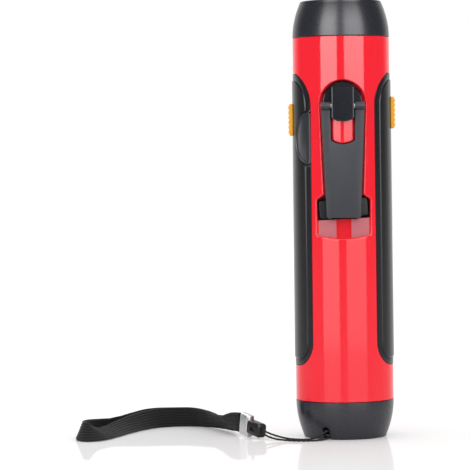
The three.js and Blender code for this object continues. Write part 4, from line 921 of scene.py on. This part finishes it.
# Grip panels. Plates of black plastic in the sides of the body, each with a raised field inside a lower
# border. The left one's field reaches its front edge beside the port cover.
BORDER_PROUD = 0.05
FIELD_PROUD = 0.45
BORDER_WIDTH = 3.2
FIELD_SLOPE = [(0, -0.42), (0.62, -0.04), (0.75, 0)]
PANEL_ROUNDING = 0.22
COVER_MARGIN = 0.12
COVER_Z = 148.7
COVER_RADIUS = 13
HINGE_RADIUS = 0.7
HINGE_ANGLE = PANEL_EDGE + HINGE_RADIUS / RADIUS_HIGH
NOTCH_HALF = 14.2
NOTCH_REACH = 4.2


def cover_outline(margin, start):
    """The port cover's half disc at an inset, grown by a margin, from a starting angle."""
    def edge(share, inset):
        radius = COVER_RADIUS + margin - inset
        first, last = start + inset / RADIUS_HIGH, PANEL_EDGE + radius / RADIUS_HIGH
        angle = first + (last - first) * sin(share * pi / 2)
        along = max(angle - PANEL_EDGE, 0) * RADIUS_HIGH
        half = sqrt(max(radius**2 - along**2, 0.15**2))
        return -angle, COVER_Z - half, COVER_Z + half

    return edge


def notch_outline(share, inset):
    """Where the left panel's field runs out to the panel's front edge, beside the port cover."""
    first, last = (PANEL_EDGE + along / RADIUS_HIGH for along in (inset, NOTCH_REACH))
    return -(first + (last - first) * share), COVER_Z - NOTCH_HALF + inset, COVER_Z + NOTCH_HALF - inset


def panel_rows():
    rows = [(0, beside_body(GAP - PANEL_DEPTH))]
    for a, b in quarter_steps(PANEL_ROUNDING, 3):
        rows.append((a, beside_body(BORDER_PROUD - b)))
    rows.append((BORDER_WIDTH - 0.05, beside_body(BORDER_PROUD)))
    return rows + [(BORDER_WIDTH + a, beside_body(FIELD_PROUD + b)) for a, b in FIELD_SLOPE]


def panel_surface(z):
    return body_radius(z) + FIELD_PROUD


panels = []
for side, name in ((-1, "grip_left"), (1, "grip_right")):
    panel = bent_plate(name, panel_outline(side), panel_rows(), PANEL_STEPS)
    cuts = [switch_slot_tool(side)]
    if side < 0:
        notch = bent_plate("notch", notch_outline, [
            (0, beside_body(-0.5)), *((a, beside_body(FIELD_PROUD + b)) for a, b in FIELD_SLOPE)], 12)
        combine(panel, [notch], "UNION")
        cuts.append(bent_plate("cover_tool", cover_outline(COVER_MARGIN, PANEL_EDGE - 0.02),
                               [(0, lambda z: SHELL_INNER), (0, beside_body(TOOL_OVERLAP))], 48))
    combine(panel, cuts)
    shade(panel)
    round_normals(panel, panel_surface)
    panels.append(panel)
panel_black = plastic("panel_black", (0.010, 0.010, 0.013), 0.24, 0.12, 700, 0.4)
dress(panels[0], panel_black, ["left_grip_panel"])
dress(panels[1], panel_black, ["right_grip_panel"])

# Port cover. A half disc of soft black rubber over the charging sockets, hinged along its straight edge
# by a thin rolled bead. Its face is raised inside a narrow rim.
COVER_RIM = [(0, -0.2), (0.15, 0), (0.5, 0), (0.78, -0.42), (2.0, -0.42), (2.25, -0.3)]
BEAD_EDGE = 0.2


def bevelled_rod(name, radius, low, high, edge, segments, place=Matrix()):
    """A round rod about Z whose two edges are cut off."""
    outline = [(0, low), (radius - edge, low), (radius, low + edge)]
    outline += [(radius, high - edge), (radius - edge, high), (0, high)]
    return turned(name, outline, segments, place)


cover_rows = [(0, beside_body(GAP - PANEL_DEPTH))]
cover_rows += [(a, beside_body(FIELD_PROUD + b)) for a, b in COVER_RIM]
port_cover = bent_plate("port_flap", cover_outline(0, HINGE_ANGLE), cover_rows, 64)
bead_out = body_radius(COVER_Z) + (FIELD_PROUD + GAP - PANEL_DEPTH) / 2
bead_reach = COVER_RADIUS - HINGE_RADIUS
bead = bevelled_rod(
    "bead", HINGE_RADIUS, -bead_reach, bead_reach, BEAD_EDGE, 24,
    Matrix.Translation((-bead_out * sin(HINGE_ANGLE), -bead_out * cos(HINGE_ANGLE), COVER_Z)))
combine(port_cover, [bead], "UNION")
shade(port_cover)
round_normals(port_cover, panel_surface)
flap_rubber = plastic("flap_rubber", (0.032, 0.033, 0.041), 0.3, 0.35, 600, 0.4)
dress(port_cover, flap_rubber, ["port_cover"], "cover")

# Head ring and tail cap. Two slate plastic caps, pressed into the ends of the body. They swell from the
# body's edge towards their own rounded rims, and the tail cap holds the lanyard eye.
CAP_DROP = 4.1
CAP_EDGE = 0.9
CAP_STEPS = 28
HEAD_TOP = 216.8
CAP_GAP = 0.2
SKIRT_OUTER = SHELL_INNER - GAP
SKIRT_INNER = SKIRT_OUTER - 1.9
HEAD_SKIRT_LOW = 193.2
HEAD_MOUTH = 17.0
SEAT_RADIUS = 18.7
SEAT_LOW, SEAT_HIGH = 208.8, 213.4
TAIL_FLOOR = 2.4
TAIL_SKIRT_HIGH = 24.2
CAP_SEGMENTS = 180


def cap_side(seam_radius, seam_z, end_z):
    """The curved side of a cap, from its seam with the body over its rounded edge."""
    height = end_z - seam_z
    sign = 1 if height > 0 else -1
    side = [(seam_radius - 0.2, seam_z)]
    for i in range(CAP_STEPS + 1):
        share = i / CAP_STEPS * (1 - CAP_EDGE / abs(height))
        side.append((seam_radius - CAP_DROP * share**2, seam_z + height * share + sign * 0.2 * (i == 0)))
    edge = side[-1][0]
    for i in range(1, 7):
        turn = pi / 2 * i / 6
        side.append((edge - CAP_EDGE * (1 - cos(turn)), end_z - sign * CAP_EDGE * (1 - sin(turn))))
    return side


head_side = cap_side(RADIUS_HIGH, BODY_HIGH + CAP_GAP, HEAD_TOP)
head_ring = turned("head_cap", [
    *head_side, (HEAD_MOUTH + 0.9, HEAD_TOP), (HEAD_MOUTH + 0.65, HEAD_TOP - 0.07),
    (HEAD_MOUTH, HEAD_TOP - 0.9), (HEAD_MOUTH, SEAT_HIGH), (SEAT_RADIUS, SEAT_HIGH),
    (SEAT_RADIUS, SEAT_LOW), (17.1, SEAT_LOW), (17.1, 206.4), (SKIRT_INNER, 205.2),
    (SKIRT_INNER, HEAD_SKIRT_LOW), (SKIRT_OUTER, HEAD_SKIRT_LOW), (SKIRT_OUTER, BODY_HIGH + CAP_GAP)],
    CAP_SEGMENTS)
shade(head_ring)

tail_side = cap_side(RADIUS_LOW, BODY_LOW - CAP_GAP, 0)
tail_cap = turned("tail_end", [
    *tail_side, (0, 0), (0, TAIL_FLOOR), (15.65, TAIL_FLOOR), (17.95, 4.7), (SKIRT_INNER, 16.5),
    (SKIRT_INNER, TAIL_SKIRT_HIGH), (SKIRT_OUTER, TAIL_SKIRT_HIGH), (SKIRT_OUTER, BODY_LOW - CAP_GAP)],
    CAP_SEGMENTS)
EYE_ANGLE = radians(-27)
EYE_HALF = 1.9
EYE_LOW = 2.6
EYE_HIGH = 6.4
EYE_BAR_OUT = 19.3
EYE_BAR_HEIGHT = 1.15
CHAMBER_IN, CHAMBER_OUT = 14.75, 17.95
HOUSING_HALF = 3.5
HOUSING_WALL = 2.3
HOUSING_LOW, HOUSING_HIGH = 0.4, 9
at_eye = Matrix.Rotation(EYE_ANGLE, 4, "Z")


def at_eye_side(part):
    part.data.transform(at_eye)
    return part


housing = at_eye_side(box("housing", (-HOUSING_HALF, HOUSING_HALF),
                          (-RADIUS_LOW, -CHAMBER_IN + HOUSING_WALL), (HOUSING_LOW, HOUSING_HIGH)))
envelope = [*cap_side(RADIUS_LOW - 0.02, BODY_LOW - CAP_GAP, 0.02), (0, 0.02), (0, BODY_LOW - CAP_GAP)]
combine(housing, [turned("envelope", envelope, CAP_SEGMENTS)], "INTERSECT")
combine(tail_cap, [housing], "UNION")
arch = [(EYE_HALF * cos(turn), EYE_HIGH - EYE_HALF + EYE_HALF * sin(turn))
        for turn in (pi * i / 16 for i in range(17))]
combine(tail_cap, [
    at_eye_side(front_prism("eye_recess", [(-EYE_HALF, -1), (EYE_HALF, -1), *arch], EYE_BAR_OUT, far)),
    at_eye_side(front_prism("eye", [(-EYE_HALF, EYE_LOW), (EYE_HALF, EYE_LOW), *arch], CHAMBER_IN, far)),
    at_eye_side(box("groove", (-EYE_HALF, EYE_HALF), (-far, -CHAMBER_IN),
                    (-TOOL_OVERLAP, EYE_LOW - EYE_BAR_HEIGHT))),
    at_eye_side(box("chamber", (-EYE_HALF + 0.01, EYE_HALF - 0.01), (-CHAMBER_OUT, -CHAMBER_IN - 0.01),
                    (-TOOL_OVERLAP, EYE_HIGH - 0.01))),
])
shade(tail_cap)
slate = plastic("slate_plastic", (0.017, 0.018, 0.026), 0.27, 0.1, 800, 0.6)
dress(head_ring, slate, ["head_ring"])
dress(tail_cap, slate, ["tail_cap"])

# Lens, reflector and light. A clear window sits on a rubber seal over a chromed bowl, and the light itself
# is a yellow resin dome on a round board.
LENS_RADIUS = 18.4
LENS_LOW, LENS_HIGH = 211.1, 213.1
LENS_EDGE = 0.3
BOWL_FOOT, BOWL_MOUTH = 4.5, 15.6
BOWL_WALL = 1.2
REFLECTOR_LOW, REFLECTOR_HIGH = 192.0, 209.3
LED_RADIUS = 3.2
LED_STEP = 0.9
LED_DOME = 2.2
lens = bevelled_rod("lens_window", LENS_RADIUS, LENS_LOW, LENS_HIGH, LENS_EDGE, 96)
shade(lens)


def bowl_side(count, wall=0):
    """The first points of the bowl's curve, which has 32 steps from its foot to its mouth."""
    return [(sqrt(BOWL_FOOT**2 + (BOWL_MOUTH**2 - BOWL_FOOT**2) * i / 32) + wall,
             REFLECTOR_LOW + (REFLECTOR_HIGH - REFLECTOR_LOW) * i / 32) for i in range(count)]


reflector_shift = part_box("reflector")[1][2] / MM - REFLECTOR_HIGH
flange_low = REFLECTOR_HIGH - BOWL_WALL
reflector = turned("reflector_bowl", [
    *bowl_side(29, BOWL_WALL), (BOWL_MOUTH + BOWL_WALL, flange_low), (LENS_RADIUS, flange_low),
    (LENS_RADIUS, REFLECTOR_HIGH), *reversed(bowl_side(33))],
    96, Matrix.Translation((0, 0, reflector_shift)))
shade(reflector)
led_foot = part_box("led")[0][2] / MM
led_outline = [(0, led_foot), (LED_RADIUS, led_foot), (LED_RADIUS, led_foot + LED_STEP - 0.15),
               (LED_RADIUS - 0.15, led_foot + LED_STEP)]
led_outline += [(LED_DOME * cos(turn), led_foot + LED_STEP + LED_DOME * sin(turn))
                for turn in (pi / 2 * i / 12 for i in range(13))]
led = turned("led_dome", led_outline, 48)
shade(led)

lens_clear, wire = new_material("lens_clear")
haze = wire.noise(60, 3)
surface(wire, Base_Color=haze.mix((0.93, 0.96, 0.97), (0.98, 0.99, 1.0)), Roughness=0.03 + 0.05 * haze,
        Transmission_Weight=1.0, IOR=1.49)
bowl_chrome = metal("bowl_chrome", (0.86, 0.86, 0.87), 0.1, 40, (1, 1, 1), 0.06)
led_resin, wire = new_material("led_resin")
swirl = wire.noise(300, 3)
surface(wire, Base_Color=swirl.mix((0.80, 0.62, 0.12), (0.95, 0.84, 0.35)), Roughness=0.12 + 0.1 * swirl,
        Coat_Weight=0.6)
dress(lens, lens_clear, ["lens"])
dress(reflector, bowl_chrome, ["reflector"])
dress(led, led_resin, ["led"])

# Crank hub and hinge block. The hub disc turns in the body's recess. The block over it carries the hinge
# pin, and is cut flat on both sides for the arm's prongs.
SHAFT_RADIUS = 2.5
SHAFT_END = 5.8
HUB_EDGE = 0.3
hub = turned("hub_disc", [
    (0, SHAFT_END), (SHAFT_RADIUS, SHAFT_END), (SHAFT_RADIUS, HUB_BACK), (HUB_RADIUS - HUB_EDGE, HUB_BACK),
    (HUB_RADIUS, HUB_BACK + HUB_EDGE), (HUB_RADIUS, HUB_FACE - 0.45), (HUB_RADIUS - 0.15, HUB_FACE - 0.12),
    (HUB_RADIUS - 0.45, HUB_FACE), (0, HUB_FACE)], 128, facing(HUB_Z))
shade(hub, 12)
block_slate = plastic("block_slate", (0.008, 0.01, 0.016), 0.17, 0.15, 800, 0.4)
dress(hub, block_slate, ["crank_hub"], "hub")

BLOCK_HALF = 5.5
BLOCK_FACE = 26.6
BLOCK_BEVEL = [(26.15, 0), (26.35, 0.08), (BLOCK_FACE, 0.62)]
BLOCK_WEDGE = [(-27.5, 172.8), (-26.62, 173.0), (-26.4, 173.6), (-25.1, 176.4), (-27.5, 176.4)]
PIN_BORE = 1.35


def block_outline(inset):
    radius, half = HUB_RADIUS - inset, BLOCK_HALF - inset
    sweep = asin(half / radius)
    arc = [(radius * sin(sweep * (1 - i / 10)), radius * cos(sweep * (1 - i / 10))) for i in range(21)]
    return [(x, HUB_Z + z) for x, z in [*arc, *((-x, -z) for x, z in arc)]]


def stack(name, outline_at, levels):
    """A plate built up in levels of (distance out, inset), so that its edges are rounded."""
    return loft(name, [[(x, -out, z) for x, z in outline_at(inset)] for out, inset in levels])


block_foot = HUB_FACE + GAP
block = stack("pivot_block", block_outline, [(block_foot, 0.1), (block_foot + 0.1, 0), *BLOCK_BEVEL])
wedge = loft("wedge", [[(x, y, z) for y, z in BLOCK_WEDGE] for x in (-8, 8)])
pin_axis = Matrix.Translation((0, -PIN_OUT, PIN_Z)) @ Matrix.Rotation(pi / 2, 4, "Y")
combine(block, [wedge, rod("bore", PIN_BORE, -12, 12, 32, pin_axis)])
shade(block, 12)
dress(block, block_slate, ["hinge_block"])

# Crank arm. A tapering plate of grey plastic, forked round the hinge block, with a round knuckle on each
# prong for the pin and a post for the knob on its hidden side.
KNUCKLE_RADIUS = 2.05
KNUCKLE_EDGE = 0.3
ARM_TIP_CORNER = 1.5
ARM_EDGE = 0.45
ARM_BACK_EDGE = 0.25
POST_RADIUS = 3.4
POST_END = 18.2
KNOB_SCREW_BORE = 1.65


def arm_outline():
    """The arm's outline, anticlockwise in x and z."""
    corner_half = arm_half(ARM_TIP_Z)
    slot = []
    sweep = asin(PRONG_INNER / SLOT_RADIUS)
    for i in range(17):
        turn = sweep * (1 - 2 * i / 16)
        slot.append((SLOT_RADIUS * sin(turn), SLOT_BOTTOM_Z + SLOT_RADIUS * (1 - cos(turn)), 0))
    tip = [(corner_half * (2 * i / 12 - 1), ARM_TIP_Z, 0) for i in range(1, 12)]
    return rounded_corners([
        (-corner_half, ARM_TIP_Z, ARM_TIP_CORNER), *tip, (corner_half, ARM_TIP_Z, ARM_TIP_CORNER),
        (ARM_HALF_TOP, PIN_Z, 0), (PRONG_INNER, PIN_Z, 0), *slot, (-PRONG_INNER, PIN_Z, 0),
        (-ARM_HALF_TOP, PIN_Z, 0)])


def inner_arm_outline(inset):
    outline = arm_outline()
    return [point - normal * inset for point, normal in zip(outline, outward(outline))]


arm = stack("arm_plate", inner_arm_outline, rounded_levels(
    ARM_INNER, ARM_OUTER, (ARM_BACK_EDGE, 4), (ARM_EDGE, 4)))
knuckles = []
for side in (-1, 1):
    start, end = sorted((side * PRONG_INNER, side * ARM_HALF_TOP))
    levels = rounded_levels(start, end, (KNUCKLE_EDGE, 3), (KNUCKLE_EDGE, 3))
    profile = [(0, start), *((KNUCKLE_RADIUS - inset, level) for level, inset in levels), (0, end)]
    knuckles.append(turned("knuckle", profile, 48, pin_axis))
post_top = ARM_INNER + 0.5
post = turned("post", [
    (0, POST_END), (POST_RADIUS - 0.2, POST_END), (POST_RADIUS, POST_END + 0.2), (POST_RADIUS, post_top),
    (0, post_top)], 48, facing(KNOB_Z))
combine(arm, [*knuckles, post], "UNION")
combine(arm, [rod("bore", PIN_BORE, -14, 14, 32, pin_axis),
              rod("bore", KNOB_SCREW_BORE, 17.5, 23.4, 32, facing(KNOB_Z))])
shade(arm)
arm_plastic = plastic("arm_grey", (0.027, 0.029, 0.038), 0.36, 0.15, 700, 0.35)
dress(arm, arm_plastic, ["crank_arm"], "crank")

# Knob. A rounded bar of slate plastic that lies across the arm inside the body's window and turns on a
# steel screw.
KNOB_HALF = (12.45, 5.0)
KNOB_CORNER = 1.9
KNOB_EDGE = 0.9
KNOB_INNER, KNOB_OUTER = 10.2, 17.9
KNOB_TILT = radians(4.2)
KNOB_DROP = 0.3
SCREW_HEAD_BORE = 3.3
SCREW_HEAD_SEAT = 11.9


def knob_outline(inset):
    middle = KNOB_Z - KNOB_DROP
    return [(x * cos(KNOB_TILT) - z * sin(KNOB_TILT), middle + x * sin(KNOB_TILT) + z * cos(KNOB_TILT))
            for x, z in rounded_rectangle(KNOB_HALF[0] - inset, KNOB_HALF[1] - inset, KNOB_CORNER - inset)]


knob = stack("knob_bar", knob_outline, rounded_levels(
    KNOB_INNER, KNOB_OUTER, (KNOB_EDGE, 6), (KNOB_EDGE, 6)))
combine(knob, [turned("bore", [
    (0, 7), (SCREW_HEAD_BORE, 7), (SCREW_HEAD_BORE, SCREW_HEAD_SEAT), (KNOB_SCREW_BORE, SCREW_HEAD_SEAT),
    (KNOB_SCREW_BORE, 20), (0, 20)], 48, facing(KNOB_Z))])
shade(knob)
# The knob's slate is far darker than the caps': partly its own colour, partly painted shade from the arm
# and the window around it.
knob_slate_painted_shade = plastic("knob_slate_painted_shade", (0.005, 0.006, 0.01), 0.28, 0.12, 800, 0.28)
dress(knob, knob_slate_painted_shade, ["crank_knob"], "knob")

# Slide buttons. Amber plastic caps on the sides of the body, with six ribs across them for the thumb and
# a stem that reaches through the panel into the switch.
BUTTON_HALF_LONG = 7.9
BUTTON_HALF_WIDE = 3.4
BUTTON_FOOT_Z = SWITCH_Z - 10
BUTTON_FOOT_GAP = 0.12
BUTTON_FACE = 26.6
BUTTON_EDGE = 0.6
BUTTON_RIBS = 6
BUTTON_RIB_PITCH = 2.4
BUTTON_RIB_DEPTH = 0.5
BUTTON_SAMPLES = 72
BUTTON_SHIFT = 1.5
STEM_HALF = (1.5, 2.5)
STEM_IN = 19.55


def button_profile(side, middle, y, inset):
    """The button's outline along the body: its hollow foot, rounded ends and ribs."""
    half = BUTTON_HALF_LONG - inset
    foot = sqrt((panel_surface(BUTTON_FOOT_Z) + BUTTON_FOOT_GAP)**2 - y**2)
    profile = [(foot, -half)]
    for i in range(BUTTON_SAMPLES + 1):
        z = half * (2 * i / BUTTON_SAMPLES - 1)
        wave = abs(cos(pi * (z / BUTTON_RIB_PITCH - 0.5 * (BUTTON_RIBS % 2 == 0)))) ** 0.8
        inside = abs(z) < BUTTON_RIB_PITCH * BUTTON_RIBS / 2
        out = BUTTON_FACE - inset - BUTTON_RIB_DEPTH * (1 - wave * inside)
        end = max(0, BUTTON_EDGE - (half - abs(z)))
        profile.append((out - BUTTON_EDGE + sqrt(BUTTON_EDGE**2 - end**2), z))
    profile.append((foot, half))
    return [(side * out, z + middle) for out, z in profile]


amber = plastic("amber_plastic", (1.0, 0.46, 0.01), 0.5, 0.15, 800, 0.2, 0.0, 0.05)
for side, name in ((-1, "left"), (1, "right")):
    middle = SWITCH_Z + side * BUTTON_SHIFT
    stations = rounded_levels(-BUTTON_HALF_WIDE, BUTTON_HALF_WIDE, (BUTTON_EDGE, 5), (BUTTON_EDGE, 5))
    button = loft(name + "_slider", [[(x, y, z) for x, z in button_profile(side, middle, y, inset)]
                                     for y, inset in stations])
    reach = sorted((side * STEM_IN, side * (BUTTON_FACE - 1.3)))
    stem = box("stem", reach, (-STEM_HALF[0], STEM_HALF[0]), (middle - STEM_HALF[1], middle + STEM_HALF[1]))
    combine(button, [stem], "UNION")
    shade(button)
    dress(button, amber, [name + "_switch_button"], name + "_button")

# Case screws. Four turned steel screws with crossed slots go in from the back, through the bosses of the
# back shell, and hold the two shells together.
SCREW_OUTLINE = [(0, -8), (1.2, -8), (1.2, 14.3), (2.3, 14.3), (2.3, 15.2), (2.0, 15.6), (1.2, 15.8),
                 (0, 15.8)]
SCREW_SLOT = (1.5, 0.28)
SCREW_SLOT_FLOOR = 14.9
steel = metal("steel", (0.6, 0.61, 0.63), 0.3, 300, (1, 1, 0.15))
for i, (x, z) in enumerate(SCREW_PLACES):
    screw = turned(f"body_screw_{i + 1}", SCREW_OUTLINE, 36, facing(z, x) @ Matrix.Rotation(pi, 4, "X"))
    slots = [box("slot", (-a, a), (-b, b), (SCREW_SLOT_FLOOR, 17))
             for a, b in (SCREW_SLOT, reversed(SCREW_SLOT))]
    for slot in slots:
        slot.data.transform(Matrix.Translation(Vector((x, 0, z)) * MM) @ Matrix.Rotation(-pi / 2, 4, "X"))
    combine(screw, slots)
    shade(screw)
    dress(screw, steel, [f"case_screw_{i + 1}"])

# Hidden pieces. The gears, generator, boards, cells and small fasteners keep their own solids and get the
# finish that such pieces have.
copper_wire, wire = new_material("copper_wire")
turns = wire.add("TexWave", {"bands_direction": "Y", "wave_type": "BANDS"},
                 {"Vector": wire.coordinates(), "Scale": 600, "Distortion": 0.6}, out=1)
surface(wire, Base_Color=turns.mix((0.22, 0.05, 0.015), (0.62, 0.22, 0.07)), Metallic=0.9,
        Roughness=0.28 + 0.2 * turns, Normal=wire.bump(turns, 0.7, 0.2))
circuit_board, wire = new_material("circuit_board")
tracks = wire.add("TexBrick", (), {"Vector": wire.coordinates(), "Scale": 260, "Mortar Size": 0.1}, out=1)
surface(wire, Base_Color=tracks.mix((0.012, 0.13, 0.04), (0.03, 0.24, 0.08)),
        Roughness=0.32 + 0.15 * tracks, Normal=wire.bump(tracks, 0.3, 0.04))
finishes = {
    "cap_slate": slate, "panel_black": panel_black, "arm_grey": arm_plastic, "amber_plastic": amber,
    "black_rubber": flap_rubber, "steel": steel, "copper_wire": copper_wire, "circuit_board": circuit_board,
    "bush_brass": metal("bush_brass", (0.62, 0.4, 0.1), 0.32, 300),
    "white_plastic": plastic("white_plastic", (0.78, 0.76, 0.7), 0.4, 0.2),
    "cell": plastic("cell_wrap", (0.03, 0.2, 0.09), 0.28, 0.05, 200, 0.5, 0.3),
    "magnet": metal("magnet", (0.16, 0.165, 0.175), 0.5, 400),
}
for subpart in frame["record"]["subparts"]:
    node = bpy.data.objects[subpart["node"]]
    if not node.hide_render:
        for place in node.material_slots:
            place.material = finishes[subpart["material_slot"]]
        if not node.material_slots:
            node.data.materials.append(finishes[subpart["material_slot"]])

# Floor and light. A wide white table, two tall softboxes either side of the camera, which give the body
# its two pale stripes, and a white room.
TABLE_HALF = 4000
TABLE_DROP = 0.02
SOFTBOX_DISTANCE = 620
SOFTBOX_TOP = 900
SOFTBOX_STEPS = 16
ROOM_LEVEL = 1.2
CEILING_GLOW = 3.0
floor = make_object("table_top", [(x * TABLE_HALF, y * TABLE_HALF, -TABLE_DROP)
                                  for x, y in ((-1, -1), (1, -1), (1, 1), (-1, 1))], [(0, 1, 2, 3)])
floor_white, wire = new_material("table_white")
seen = wire.add("LightPath")
surface(wire, Base_Color=(0.8, 0.8, 0.8), Roughness=0.04, IOR=1.06,
        Emission_Color=seen.mix((0, 0, 0), (1, 1, 1)), Emission_Strength=0.12)
floor.data.materials.append(floor_white)


def softbox(name, start, end, strength):
    """A tall panel bent round the flashlight. Angles run from straight in front, positive to the right."""
    points = []
    for i in range(SOFTBOX_STEPS + 1):
        turn = radians(start + (end - start) * i / SOFTBOX_STEPS)
        x, y = SOFTBOX_DISTANCE * sin(turn), -SOFTBOX_DISTANCE * cos(turn)
        points += [(x, y, 0), (x, y, SOFTBOX_TOP)]
    faces = [(2 * i, 2 * i + 1, 2 * i + 3, 2 * i + 2) for i in range(SOFTBOX_STEPS)]
    panel = make_object(name, points, faces)
    panel.visible_camera = False
    panel.visible_shadow = False
    panel.visible_diffuse = False
    material, wire = new_material(name)
    height = wire.add("SeparateXYZ", (), {0: wire.add("TexCoord", out=3)}, out=2)
    glow = wire.add("ValToRGB", {"stops": [
        (0.0, (0.36,) * 3), (0.1, (0.4,) * 3), (0.27, (0.95,) * 3), (0.55, (1, 1, 1)), (0.8, (0.6,) * 3),
        (1.0, (0.15,) * 3)]}, {0: height * (1 / SOFTBOX_TOP / MM)})
    shader = wire.add("Emission", (), {"Color": glow, "Strength": strength})
    wire.add("OutputMaterial", (), {"Surface": shader})
    panel.data.materials.append(material)


softbox("softbox_left", -50, -11, 6.6)
softbox("softbox_right", 6, 53, 5.6)

world = bpy.data.worlds.new("white_room")
bpy.context.scene.world = world
world.use_nodes = True
world.node_tree.nodes.clear()
wire = Wire(world.node_tree)
away = wire.add("SeparateXYZ", (), {0: wire.add("TexCoord", out=0)}, out=1)
upward = wire.add("SeparateXYZ", (), {0: wire.add("TexCoord", out=0)}, out=2)
behind = wire.add("MapRange", {"interpolation_type": "SMOOTHSTEP"},
                  {0: away, 1: 0.4, 2: 0.92, 3: 0.12, 4: 1.0})
ceiling = wire.add("MapRange", {"interpolation_type": "SMOOTHSTEP"},
                   {0: upward, 1: 0.82, 2: 0.95, 3: 0.0, 4: CEILING_GLOW})
camera_ray = wire.add("LightPath", out=0)
glossy_ray = wire.add("LightPath", out=3)
level = camera_ray + (1 - camera_ray) * (glossy_ray * (behind + ceiling) + (1 - glossy_ray) * ROOM_LEVEL)
shader = wire.add("Background", (), {"Color": (1, 1, 1, 1), "Strength": level})
wire.add("OutputWorld", (), {"Surface": shader})
bpy.context.scene.view_settings.view_transform = "Standard"
